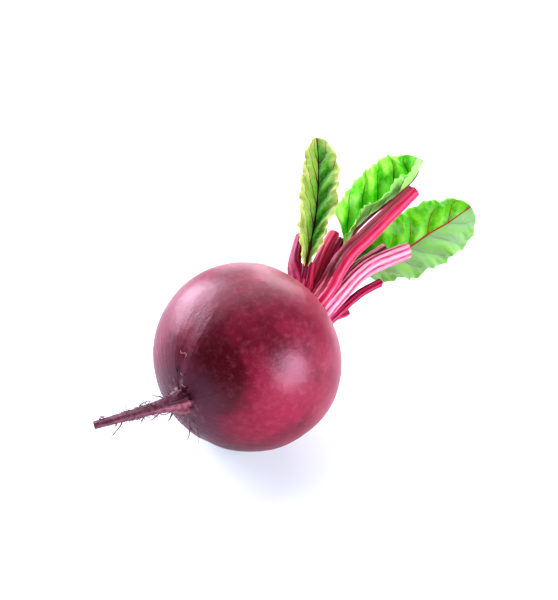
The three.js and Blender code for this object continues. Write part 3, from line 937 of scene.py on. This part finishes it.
def stalkMaterial(look):
    material, tree, shader = newMaterial(look["name"])
    lengthwise = addNode(tree, "Attribute", output="Vector", attribute_name="lengthwise")
    keys = ("rib", "groove", "share", "cut")
    fields = [addNode(tree, "Attribute", output="Fac", attribute_name=key) for key in keys]
    rib, groove, share, cut = fields
    place = addNode(tree, "TexCoord", output="Object")
    streakSize = {"Scale": stalkPatterns["streaksToRadius"], "Detail": 5, "Roughness": 0.6}
    streak = addNode(tree, "TexNoise", {"Vector": lengthwise, **streakSize})
    speckSize = {"Scale": perMm(stalkPatterns["speckSize"]), "Detail": 3}
    speck = addNode(tree, "TexNoise", {"Vector": place, **speckSize})
    dots = addNode(tree, "TexVoronoi", {"Vector": place, "Scale": perMm(stalkPatterns["dotSpacing"])})
    unevenRib = addNode(tree, "MapRange", [streak, 0.3, 0.7, -0.7, 0.7])
    unevenRib = addNode(tree, "Math", [unevenRib, rib], operation="ADD")
    atFoot = addNode(tree, "MapRange", [share, 0.45, 0.1, 0, 0.75])
    footStrings = addNode(tree, "MapRange", [unevenRib, 0.4, 0.9])
    footStrings = addNode(tree, "Math", [footStrings, atFoot], operation="MULTIPLY")

    # the cut face: strings end in darker dots
    cutShare = addNode(tree, "MapRange", [dots, 0.3, 0.12, 0, 0.6])
    cutColour = addNode(tree, "MixRGB", [cutShare, look["cutFace"], look["valley"]])
    cutShare = addNode(tree, "MapRange", [speck, 0.4, 0.65, 0, 0.4])
    cutColour = addNode(tree, "MixRGB", [cutShare, cutColour, look["string"]])

    # layers of colour from the bottom up: what each follows, from where, fully at, how much, and its colour
    layers = [
        (unevenRib, -1.1, 0.1, 1, look["flesh"]),
        (unevenRib, 0.35, 1.3, look["strings"], look["string"]),
        # painted shade in the groove
        (groove, 0.15, 0.6, 0.9, look["groove"]),
        (footStrings, 0, 1, 1, look["string"]),
        # painted shade at the foot, where the stalks crowd into the crown
        (share, 0.16, 0.04, 0.7, look["groove"]),
        (cut, 0, 1, 1, cutColour),
    ]
    colour = look["valley"]
    for follows, start, full, most, over in layers:
        amount = addNode(tree, "MapRange", [follows, start, full, 0, most])
        colour = addNode(tree, "MixRGB", [amount, colour, over])
    tree.links.new(colour, shader.inputs["Base Color"])
    bump = addNode(tree, "Bump", {"Height": streak, "Strength": 0.5, "Distance": 0.3 * mm})
    tree.links.new(bump, shader.inputs["Normal"])
    shader.inputs["Roughness"].default_value = look["roughness"]
    shader.inputs["IOR"].default_value = stalkPatterns["ior"]
    shader.inputs["Specular IOR Level"].default_value = stalkPatterns["specular"]
    return material


# Dry ends of older leaves, left round the neck
oldStalkEnds = {
    "ends": [(165, 1.5), (206, 2.5), (228, 3.5), (282, 1.5), (322, 2.5)],  # degrees round the axis, length
    "foot": (31, 10.5),  # along the crown's way, and distance from the axis
    "topDistance": 12.5,
    "width": (7, 4.5),
    "depth": (4, 2.2),
    "ribs": 0.15,
    "groove": 0.3,
    "fineRibs": 0.02,
    "bumps": (0.3, 1.6),
    "tornEdge": (0.5, 1.3, 7),
    "rings": 20,
    "sides": 48,
}


def buildOldStalkEnds(material):
    shape = oldStalkEnds
    tubes = []
    for degrees, length in shape["ends"]:
        topAlong = beetRoot["neckShoulder"] + length
        foot = crownPoint(shape["foot"][0], degrees, shape["foot"][1])
        top = crownPoint(topAlong, degrees, shape["topDistance"])
        inwards = crownPoint(topAlong, degrees, 0) - top
        share = np.linspace(0, 1, shape["rings"])
        place = lerp(foot, top, share[:, None])
        way = np.broadcast_to(unit(top - foot), place.shape)
        width = lerp(*shape["width"], share)
        depth = lerp(*shape["depth"], share)
        points, angle, rib = stalkTube(place, way, inwards, width, depth, shape)
        out = unit(points - place[:, None])
        points = points + bumps(points, *shape["bumps"])[..., None] * out
        points[-1] = points[-1] + bumps(points[-1], *shape["tornEdge"])[:, None] * way[-1]
        tubes.append(points)
    points, faces = joinTubes(tubes)
    piece = makeObject("oldStalkEnds", points, faces, skinFields(points, -36, 12), material)
    standFor(piece, ["beet_root"])


# Leaves. The path runs from the neck to the tip, and the blade starts where the stalk length ends.
# A pair gives the left and the right half of the blade, seen from its face with the tip up.
# Fullest holds the two powers of the outline, and folds and curls are in degrees at base, middle and tip.
leaves = [
    {
        "name": "leaf_1",
        "at": (150, 4.4),
        "path": [
            (22.4, 31.5, 52.7),
            (23.6, 35, 57.2),
            (25.3, 41, 64.1),
            (27, 47.7, 69.9),
            (28.4, 55, 76.7),
            (29, 62.4, 83.5),
            (29.1, 70, 90.5),
            (28.4, 77.6, 97.7),
        ],
        "face": (0, -0.866, 0.5),
        "stalkLength": 20,
        "stalkWidth": 3.6,
        "halfWidth": (8, 10.2),
        "fullest": (0.55, 0.48),
        "foldLeft": (25, 28, 22),
        "foldRight": (55, 48, 20),
        "curlLeft": (10, -20, -25),
        "curlRight": (20, -20, -30),
        "waves": 3.5,
        "waveHeight": 1,
        "teeth": 8.3,
        "slant": (2.6, 1.2),  # how far the side veins run towards the tip, left and right
        "lean": (0, 0),  # how far each half is drawn towards the tip, at its base
    },
    {
        "name": "leaf_2",
        "at": (40, 1.4),
        "path": [
            (31.7, 40.6, 47.6),
            (37.4, 51.5, 52.6),
            (41.4, 57.6, 57),
            (44.2, 62, 61.1),
            (51.3, 67.4, 66),
            (58.4, 70.4, 70.6),
            (65, 74.3, 74.6),
            (70.4, 77.6, 78.8),
            (74.4, 82, 85),
        ],
        "face": (0.05, -0.84, 0.54),
        "stalkLength": 38,
        "stalkWidth": 3.6,
        "halfWidth": (16.6, 9.2),
        "fullest": (0.42, 0.3),
        "foldLeft": (20, 8, -5),
        "foldRight": (112, 114, 118),
        "curlLeft": (-10, -15, 0),
        "curlRight": (0, 0, 10),
        "waves": 3,
        "waveHeight": 1.3,
        "teeth": 9.3,
        "slant": (1.2, 1.2),
        "lean": (9, 0),
    },
    {
        "name": "leaf_3",
        "at": (-30, 3.6),
        "path": [
            (36.2, 46.5, 41.8),
            (45.1, 58.2, 44),
            (58.4, 67.1, 45.5),
            (69.9, 73.3, 48.2),
            (78.4, 77.8, 52.1),
            (87.1, 82, 55.5),
            (92, 84.6, 58),
            (96.6, 87, 60.4),
        ],
        "face": (-0.05, -0.8, 0.6),
        "stalkLength": 42,
        "stalkWidth": 4,
        "halfWidth": (14.5, 15.5),
        "fullest": (0.5, 0.46),
        "foldLeft": (15, 6, 0),
        "foldRight": (20, 22, 10),
        "curlLeft": (0, 0, -15),
        "curlRight": (10, 5, -25),
        "waves": 4.5,
        "waveHeight": 1.3,
        "teeth": 10.3,
        "slant": (1.2, 1.2),
        "lean": (0, 0),
    },
]
bladeShape = {
    "thickness": 0.4,
    "edgeShare": 0.35,  # of the thickness, at the margin
    "leastWidth": 1.4,
    "rows": 190,
    "columns": 120,
    "sideVeins": 6,
    "veinStart": 0.25,
    "veinWobble": (0.16, 9),
    "quiltHeight": 0.5,
    "quiltReach": 1.6,  # from a side vein to the top of the quilted leaf beside it
    "pleats": 1.4,
    "pleatCount": 6,
    "teeth": 0.45,
    "fineTeeth": 0.16,
    "fineTeethRatio": 2.7,  # fine teeth to a tooth
    "ruffle": 0.45,
    "ruffleRatio": 1.7,  # ruffles to a tooth
    "crumple": (0.3, 4.5),
    "fineCrumple": (0.14, 1.8, 5),
}
leafStalkShape = {
    "sides": 48,
    "rings": 120,
    "end": 0.95,  # of the leaf's path
    "tipWidth": 0.9,
    "depthShare": 0.95,
    "ribs": 0.03,
    "groove": 0.05,
    "fineRibs": 0.01,
    "bumps": (0.08, 2.5),
    "stalkDrop": 0.22,  # of the width, below the leaf's path
    "midribDrop": 0.1,  # and of the midrib's top
}


def leafCurve(leaf):
    return lineThrough([crownPoint(33, *leaf["at"])] + leaf["path"])


def buildLeafStalk(leaf, number, material):
    shape = leafStalkShape
    curve = leafCurve(leaf)
    face = vec(*leaf["face"])
    start = leaf["stalkLength"] / curve[1][-1]
    share = np.linspace(0, shape["end"], shape["rings"])
    place, way = onLine(curve, share)
    midrib = np.maximum((share - start) / (shape["end"] - start), 0)
    width = lerp(leaf["stalkWidth"], shape["tipWidth"], midrib**0.75)
    depth = shape["depthShare"] * width
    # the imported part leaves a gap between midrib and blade, and here the midrib is grown to the blade
    underBlade = depth / 2 + shape["midribDrop"]
    drop = lerp(shape["stalkDrop"] * width, underBlade, smoothstep(midrib, 0.08, 0.4))
    place = place - drop[:, None] * squaredTo(face, way)
    points, angle, rib = stalkTube(place, way, face, width, depth, shape)
    out = unit(points - place[:, None])
    points = points + bumps(points, *shape["bumps"], number)[..., None] * out
    flat = share[:, None] + 0 * angle
    attributes = {
        "rib": withMiddles(rib + 0 * flat),
        "groove": withMiddles(0 * flat),
        "share": withMiddles(flat),
        "cut": withMiddles(0 * flat),
        "lengthwise": withMiddles(lengthwiseField(angle, flat, curve[1][-1], number)),
    }
    faces = tubeFaces(shape["rings"], shape["sides"])
    piece = makeObject(leaf["name"] + "_stalk_look", withMiddles(points), faces, attributes, material)
    standFor(piece, [leaf["name"] + "_stalk"])


# A leaf's value for the left or the right half of its blade
def halfOf(left, pair):
    return np.where(left, pair[0], pair[1])


# The blade's middle surface and normals, with the fields that its veins and colours are drawn from.
# Shares run along it from base to tip (t) and across it from the left margin to the right one (q).
def bladeSurface(leaf, number):
    shape = bladeShape
    curve = leafCurve(leaf)
    start = leaf["stalkLength"] / curve[1][-1]
    bladeLength = curve[1][-1] - leaf["stalkLength"]
    t = (0.5 - 0.5 * np.cos(math.pi * np.linspace(0, 1, shape["rows"])))[:, None]
    q = np.linspace(-1, 1, shape["columns"] + 1)[None, :]
    place, way = onLine(curve, lerp(start, 1, t[:, 0]))
    up = squaredTo(vec(*leaf["face"]), way)
    right = np.cross(way, up)
    place, way, up, right = (a[:, None] for a in (place, way, up, right))
    left = q < 0
    side = np.where(left, -1, 1)
    out = np.abs(q)

    # each half is folded up at the midrib and curls on towards its margin
    fold = np.radians(halfOf(left, (threeWay(leaf["foldLeft"], t), threeWay(leaf["foldRight"], t))))
    curl = np.radians(halfOf(left, (threeWay(leaf["curlLeft"], t), threeWay(leaf["curlRight"], t))))
    curl = np.where(np.abs(curl) < 0.001, 0.001, curl)
    turn = fold + curl * out
    basePower, tipPower = leaf["fullest"]
    widest = basePower / (basePower + tipPower)
    outline = (t / widest) ** basePower * ((1 - t) / (1 - widest)) ** tipPower
    toothTurn = 2 * math.pi * leaf["teeth"] * t
    teeth = shape["teeth"] * np.sin(toothTurn + side) * np.minimum(1, 8 * t)
    teeth = teeth + shape["fineTeeth"] * np.sin(shape["fineTeethRatio"] * toothTurn + 2 * side + 3 * t)
    width = np.maximum(halfOf(left, leaf["halfWidth"]) * outline + teeth, shape["leastWidth"])
    across = width * (np.sin(turn) - np.sin(fold)) / curl
    rise = width * (np.cos(fold) - np.cos(turn)) / curl
    turned = np.where(out > 0, turn, 0)
    normal = np.cos(turned)[..., None] * up - (side * np.sin(turned))[..., None] * right

    # side veins, counted from the base, and the distance in millimetres from one to the next
    slant = halfOf(left, leaf["slant"])
    sheet = np.full(np.shape(width), 37.0 * number)  # a level of the noise for each leaf
    flat = np.stack([side * out * width, t * bladeLength + 0 * q, sheet], -1)
    wobble = bumps(flat, *shape["veinWobble"]) * np.minimum(1, 3 * out)
    bend = 1 + 0.35 * (out - 1) * (1 - t)
    vein = shape["sideVeins"] * t - slant * out * bend + shape["veinStart"] + wobble
    perVein = 1 / np.sqrt((shape["sideVeins"] / bladeLength) ** 2 + (slant / np.maximum(width, 3)) ** 2)
    distance = np.abs(vein - np.round(vein)) * perVein

    # the leaf swells between its veins, is pleated along them, and waves and ruffles at its margin
    quilt = shape["quiltHeight"] * (0.5 - hump(distance, 0, shape["quiltReach"]))
    quilt = quilt * np.minimum(1, 5 * out) * np.minimum(1, 5 * (1 - out))
    edgeWave = leaf["waveHeight"] * out**2 * np.sin(2 * math.pi * leaf["waves"] * t + side)
    pleatTurn = 2 * math.pi * (shape["pleatCount"] * t - 1.2 * out)
    pleats = shape["pleats"] * out * (1 - out) * np.sin(pleatTurn)
    ruffleTurn = shape["ruffleRatio"] * toothTurn + 2 * side + 2 * unevenness(flat, 14)
    ruffle = shape["ruffle"] * out**4 * np.sin(ruffleTurn)
    crumple = bumps(flat, *shape["crumple"]) + bumps(flat, *shape["fineCrumple"])
    ends = np.minimum(1, np.minimum(6 * t, 6 * (1 - t)))
    lift = (edgeWave + pleats + quilt + ruffle + crumple * np.minimum(1, 3 * out)) * ends
    points = place + (side * across)[..., None] * right + rise[..., None] * up + lift[..., None] * normal
    lean = halfOf(left, leaf["lean"]) * out * (1 - t)
    points = points + lean[..., None] * way
    zero = 0 * (t + q)
    fields = {
        "vein": vein + zero,
        "perVein": perVein + zero,
        "fromMidrib": out * width + zero,
        "toMargin": (1 - out) * width + zero,
        "half": side + zero,
        "share": t + zero,
        "flat": flat,
    }
    return points, normal + 0 * points, fields


def buildBlade(leaf, number, material):
    rows = bladeShape["rows"]
    columns = bladeShape["columns"] + 1
    middle, normal, fields = bladeSurface(leaf, number)
    thinning = np.minimum(1, bladeShape["edgeShare"] + fields["toMargin"] / 1.2)
    half = 0.5 * bladeShape["thickness"] * thinning[..., None]
    top = (middle + half * normal).reshape(-1, 3)
    under = (middle - half * normal).reshape(-1, 3)
    count = rows * columns
    quads = gridFaces(rows, columns)
    faces = quads + [[a + count, d + count, c + count, b + count] for a, b, c, d in quads]
    rim = list(range(columns - 1))
    rim += [i * columns + columns - 1 for i in range(rows - 1)]
    rim += [(rows - 1) * columns + j for j in range(columns - 1, 0, -1)]
    rim += [i * columns for i in range(rows - 1, 0, -1)]
    for a, b in zip(rim, rim[1:] + rim[:1]):
        faces.append([a, a + count, b + count, b])
    attributes = {key: np.concatenate([v.reshape(count, -1).squeeze()] * 2) for key, v in fields.items()}
    attributes["underside"] = np.concatenate([np.zeros(count), np.ones(count)])
    points = np.concatenate([top, under])
    piece = makeObject(leaf["name"] + "_blade_look", points, faces, attributes, material)
    standFor(piece, [leaf["name"] + "_blade"])


leafPatterns = {
    "patchSize": 6,  # sizes in millimetres
    "paintedSheenSize": 11,
    "fleckSize": 0.9,
    "netSize": 3.2,
    "fineNetSize": 1.3,
}
leafSurface = {
    "roughness": (0.34, 0.5),
    "lightThrough": 0.6,  # how much light comes through the thin blade
    "lightReach": (0.5, 1, 0.25),
    "lightScale": 0.8 * mm,
    "ior": 1.42,
    "specular": 0.3,
}
# Young beet leaves: thin and quilted between dark red veins, glossy above and pale beneath. Their pale
# patches are painted sheen. Sizes are in millimetres. The shares say how much of the right half's green, of
# the light and of the painted sheen colour shows, and the vein values how clear the side veins are on the
# leaf and on its right half.
leafLooks = {
    "leaf_1": {
        "green": "#84ac4c",
        "rightGreen": "#1a8a00",
        "deep": "#6cae34",
        "light": "#a0c860",
        "paintedSheen": "#c4dca0",
        "margin": "#c6c482",
        "underside": "#a3cc80",
        "veins": "#6c2a2a",
        "midrib": "#3a0a1c",
        "veinWidth": 0.2,
        "veinReach": 1.0,
        "rightVeins": 1.0,
        "rightShare": 0.95,
        "lightShare": 0.3,
        "paintedSheenShare": 0.15,
        "marginWidth": 5.0,
    },
    "leaf_2": {
        "green": "#84cc40",
        "rightGreen": "#84cc40",
        "deep": "#52c01c",
        "light": "#b8f070",
        "paintedSheen": "#c8eab4",
        "margin": "#a9d884",
        "underside": "#8fc474",
        "veins": "#5e2a18",
        "midrib": "#4c1426",
        "veinWidth": 0.26,
        "veinReach": 0.9,
        "rightVeins": 1.0,
        "rightShare": 0,
        "lightShare": 0.8,
        "paintedSheenShare": 0.45,
        "marginWidth": 1.6,
    },
    "leaf_3": {
        "green": "#5cae12",
        "rightGreen": "#90b08c",
        "deep": "#3a9c08",
        "light": "#86c040",
        "paintedSheen": "#98c090",
        "margin": "#80b860",
        "underside": "#a9d49a",
        "veins": "#843818",
        "midrib": "#963424",
        "veinWidth": 0.26,
        "veinReach": 0.85,
        "rightVeins": 0.35,
        "rightShare": 0.8,
        "lightShare": 0.5,
        "paintedSheenShare": 0.35,
        "marginWidth": 1.6,
    },
}


def leafMaterial(name, look):
    material, tree, shader = newMaterial("young beet leaf, " + name.replace("_", " "))
    keys = ("vein", "perVein", "fromMidrib", "toMargin", "half", "share", "underside")
    fields = [addNode(tree, "Attribute", output="Fac", attribute_name=key) for key in keys]
    vein, perVein, fromMidrib, toMargin, half, share, underside = fields
    flat = addNode(tree, "Attribute", output="Vector", attribute_name="flat")
    # the flat field is in millimetres, so each scale is one over a size
    scales = {key: 1 / size for key, size in leafPatterns.items()}
    patchLook = {"Scale": scales["patchSize"], "Detail": 5, "Roughness": 0.6}
    patch = addNode(tree, "TexNoise", {"Vector": flat, **patchLook})
    # pale patches of painted sheen, by noise
    paintedSheenLook = {"Scale": scales["paintedSheenSize"], "Detail": 3, "Distortion": 0.6}
    paintedSheen = addNode(tree, "TexNoise", {"Vector": flat, **paintedSheenLook})
    fleck = addNode(tree, "TexNoise", {"Vector": flat, "Scale": scales["fleckSize"], "Detail": 3})
    netLook = {"Vector": flat, "Scale": scales["netSize"]}
    net = addNode(tree, "TexVoronoi", netLook, feature="DISTANCE_TO_EDGE")
    fineNetLook = {"Vector": flat, "Scale": scales["fineNetSize"]}
    fineNet = addNode(tree, "TexVoronoi", fineNetLook, feature="DISTANCE_TO_EDGE")

    # the distance from the nearest side vein, and the veins thinning out towards the margin
    fromVein = addNode(tree, "Math", [vein, 0.5], operation="PINGPONG")
    fromVein = addNode(tree, "Math", [fromVein, perVein], operation="MULTIPLY")
    thinning = addNode(tree, "MapRange", [toMargin, 0, 9, 0.35, 1])
    veinWidth = addNode(tree, "Math", [thinning, look["veinWidth"]], operation="MULTIPLY")
    inVein = addNode(tree, "Math", [fromVein, veinWidth], operation="DIVIDE")
    midribWidth = addNode(tree, "MapRange", [share, 0, 1, 0.95, 0.3])
    inMidrib = addNode(tree, "Math", [fromMidrib, midribWidth], operation="DIVIDE")
    unevenVein = addNode(tree, "MapRange", [patch, 0.3, 0.6, 0.5, look["veinReach"]])
    sideVein = addNode(tree, "MapRange", [inVein, 1.5, 0.6])
    sideVein = addNode(tree, "Math", [sideVein, unevenVein], operation="MULTIPLY")
    halfVeins = addNode(tree, "MapRange", [half, -0.2, 0.2, 1, look["rightVeins"]])
    sideVein = addNode(tree, "Math", [sideVein, halfVeins], operation="MULTIPLY")
    netLine = addNode(tree, "MapRange", [net, 0.06, 0.0])
    fineNetLine = addNode(tree, "MapRange", [fineNet, 0.09, 0.0, 0, 0.5])
    netLine = addNode(tree, "Math", [netLine, fineNetLine], operation="MAXIMUM")
    quilt = addNode(tree, "MapRange", [fromVein, 0.4, 2.6])
    quilt = addNode(tree, "Math", [quilt, patch], operation="MULTIPLY")

    # layers of colour from the bottom up: what each follows, from where, fully at, how much, and its colour
    layers = [
        (patch, 0.54, 0.4, 1, look["deep"]),
        (half, -0.2, 0.2, look["rightShare"], look["rightGreen"]),
        (quilt, 0.3, 0.56, look["lightShare"], look["light"]),
        # painted sheen, in pale patches
        (paintedSheen, 0.52, 0.66, look["paintedSheenShare"], look["paintedSheen"]),
        (fleck, 0.45, 0.75, 0.2, look["light"]),
        (toMargin, look["marginWidth"], 0, 0.8, look["margin"]),
        (netLine, 0, 1, 0.3, look["light"]),
        (underside, 0, 1, 0.85, look["underside"]),
        (sideVein, 0, 1, 1, look["veins"]),
        (inMidrib, 1.0, 0.6, 1, look["midrib"]),
    ]
    colour = look["green"]
    for follows, start, full, most, over in layers:
        amount = addNode(tree, "MapRange", [follows, start, full, 0, most])
        colour = addNode(tree, "MixRGB", [amount, colour, over])
    tree.links.new(colour, shader.inputs["Base Color"])
    bump = addNode(tree, "Bump", {"Height": netLine, "Strength": 0.5, "Distance": 0.15 * mm}, invert=True)
    bump = addNode(tree, "Bump", {"Height": fleck, "Strength": 0.4, "Distance": 0.2 * mm, "Normal": bump})
    tree.links.new(bump, shader.inputs["Normal"])
    low, high = leafSurface["roughness"]
    tree.links.new(addNode(tree, "MapRange", [patch, 0.3, 0.7, low, high]), shader.inputs["Roughness"])
    shader.inputs["Subsurface Weight"].default_value = leafSurface["lightThrough"]
    shader.inputs["Subsurface Radius"].default_value = leafSurface["lightReach"]
    shader.inputs["Subsurface Scale"].default_value = leafSurface["lightScale"]
    shader.inputs["IOR"].default_value = leafSurface["ior"]
    shader.inputs["Specular IOR Level"].default_value = leafSurface["specular"]
    return material


# Building

skin = beetSkinMaterial()
buildRoot(skin)
buildSideRoots(skin)
dryHairs = strandTubes(longHairs, longHairs["strands"]) + strandTubes(fineHairs, fineHairStrands())
buildHairs("fineHairs", dryHairs, hairLooks["dry"])
buildHairs("paleHairs", strandTubes(paleHairs, paleHairs["strands"]), hairLooks["bleached"])
buildOldStalkEnds(skin)
print("root built")

stalkMaterials = {key: stalkMaterial(look) for key, look in stalkLooks.items()}
for number, stalk in enumerate(cutStalks):
    buildCutStalk(stalk, number, stalkMaterials[stalk["finish"]])
print("stalks built")

for number, leaf in enumerate(leaves):
    buildLeafStalk(leaf, number, stalkMaterials["leafStalk"])
    buildBlade(leaf, number, leafMaterial(leaf["name"], leafLooks[leaf["name"]]))
print("leaves built")

# Studio

studio = {
    "floor": "#acaeb4",
    "floorRoughness": 0.7,
    "floorSpecular": 0.2,
    "floorSize": 8,  # metres
    "glow": 0.61,  # the floor is a light table with soft edges
    "glowTint": "#e2f1f6",
    "glowReach": (0.45, 0.95),  # metres from the part, where it starts to fade and is gone
    "worldTint": "#f4f6ff",
    "worldLow": 0.015,  # strength at the horizon in front, overhead, and added behind
    "worldHigh": 0.3,
    "worldBehind": 0.16,
}
lights = [
    # name, tint, way to the light from the bulb, distance, width, height, watts
    ("leftBackSoftbox", "#f0ecff", (-0.69, 0.52, 0.45), 0.85, 0.75, 0.6, 17.5),
    ("lowBackStrip", "#fdf8ff", (0.12, 0.98, 0.2), 0.95, 0.7, 0.2, 2.6),
    ("rightBackFill", "#fdf8ff", (0.34, 0.78, 0.52), 1.0, 0.5, 0.4, 4.4),
    ("rightSoftbox", "#f2e2fa", (0.77, -0.58, 0.2), 0.75, 0.54, 0.42, 12),
    ("overhead", "#fdf8ff", (-0.1, 0.5, 0.86), 1.1, 1.1, 1.0, 9),
]
cameraSetup = {
    "elevation": 30,
    "distance": 0.7,
    "aimRight": 12.46 * mm,  # of the aim from the bulb's middle, in the picture
    "aimUp": 22.91 * mm,
    "frameHeight": 0.2412,  # that the picture shows at the aim
    "sensor": 36,
}
pictureSetup = {"view_transform": "Standard", "look": "High Contrast", "exposure": -0.4}


# Light table: white acrylic with a fine matt face, lit from below, so it is bright and hardly shines
def makeFloor():
    edge = studio["floorSize"] / 2
    corners = [(-edge, -edge, 0), (edge, -edge, 0), (edge, edge, 0), (-edge, edge, 0)]
    floorMesh = bpy.data.meshes.new("paleFloor")
    floorMesh.from_pydata(corners, [], [(0, 1, 2, 3)])
    material, tree, shader = newMaterial("matt white light table")
    place = addNode(tree, "TexCoord", output="Object")
    reach = addNode(tree, "VectorMath", [place], output="Value", operation="LENGTH")
    near, far = studio["glowReach"]
    glow = addNode(tree, "MapRange", [reach, near, far, studio["glow"], 0])
    tree.links.new(glow, shader.inputs["Emission Strength"])
    shader.inputs["Emission Color"].default_value = linear(studio["glowTint"])
    shader.inputs["Base Color"].default_value = linear(studio["floor"])
    shader.inputs["Roughness"].default_value = studio["floorRoughness"]
    shader.inputs["Specular IOR Level"].default_value = studio["floorSpecular"]
    floorMesh.materials.append(material)
    floor = bpy.data.objects.new("paleFloor", floorMesh)
    floor.location.z = -0.1 * mm  # just clear of the flat that the root rests on
    bpy.context.scene.collection.objects.link(floor)


def makeWorld():
    world = bpy.data.worlds.new("softStudio")
    world.use_nodes = True
    tree = world.node_tree
    way = addNode(tree, "TexCoord", output="Generated")
    height = addNode(tree, "SeparateXYZ", [way], output="Z")
    depth = addNode(tree, "SeparateXYZ", [way], output="Y")
    overhead = addNode(tree, "MapRange", [height, 0, 0.8, studio["worldLow"], studio["worldHigh"]])
    behind = addNode(tree, "MapRange", [depth, -0.1, 0.8, 0, studio["worldBehind"]])
    strength = addNode(tree, "Math", [overhead, behind], operation="ADD")
    background = tree.nodes["Background"]
    background.inputs["Color"].default_value = linear(studio["worldTint"])
    tree.links.new(strength, background.inputs["Strength"])
    bpy.context.scene.world = world


def makeLights():
    middle = Vector(bulbMiddle * mm)
    for name, tint, way, distance, width, height, watts in lights:
        data = bpy.data.lights.new(name, "AREA")
        data.shape = "RECTANGLE"
        data.size = width
        data.size_y = height
        data.energy = watts
        data.color = linear(tint)[:3]
        lamp = bpy.data.objects.new(name, data)
        lamp.location = middle + Vector(way).normalized() * distance
        lamp.rotation_euler = (middle - lamp.location).to_track_quat("-Z", "Y").to_euler()
        lamp.visible_camera = False
        bpy.context.scene.collection.objects.link(lamp)


def makeCamera():
    tilt = math.radians(cameraSetup["elevation"])
    towards = Vector((0, -math.cos(tilt), math.sin(tilt)))
    up = Vector((0, math.sin(tilt), math.cos(tilt)))
    aim = Vector(bulbMiddle * mm) + Vector((cameraSetup["aimRight"], 0, 0)) + cameraSetup["aimUp"] * up
    data = bpy.data.cameras.new("photographView")
    data.sensor_width = cameraSetup["sensor"]
    data.lens = cameraSetup["sensor"] * cameraSetup["distance"] / cameraSetup["frameHeight"]
    camera = bpy.data.objects.new("photographView", data)
    camera.location = aim + towards * cameraSetup["distance"]
    camera.rotation_euler = (-towards).to_track_quat("-Z", "Y").to_euler()
    bpy.context.scene.collection.objects.link(camera)
    bpy.context.scene.camera = camera


makeFloor()
makeWorld()
makeLights()
makeCamera()
for setting, value in pictureSetup.items():
    setattr(bpy.context.scene.view_settings, setting, value)
print("studio ready")

bpy.context.view_layer.update()
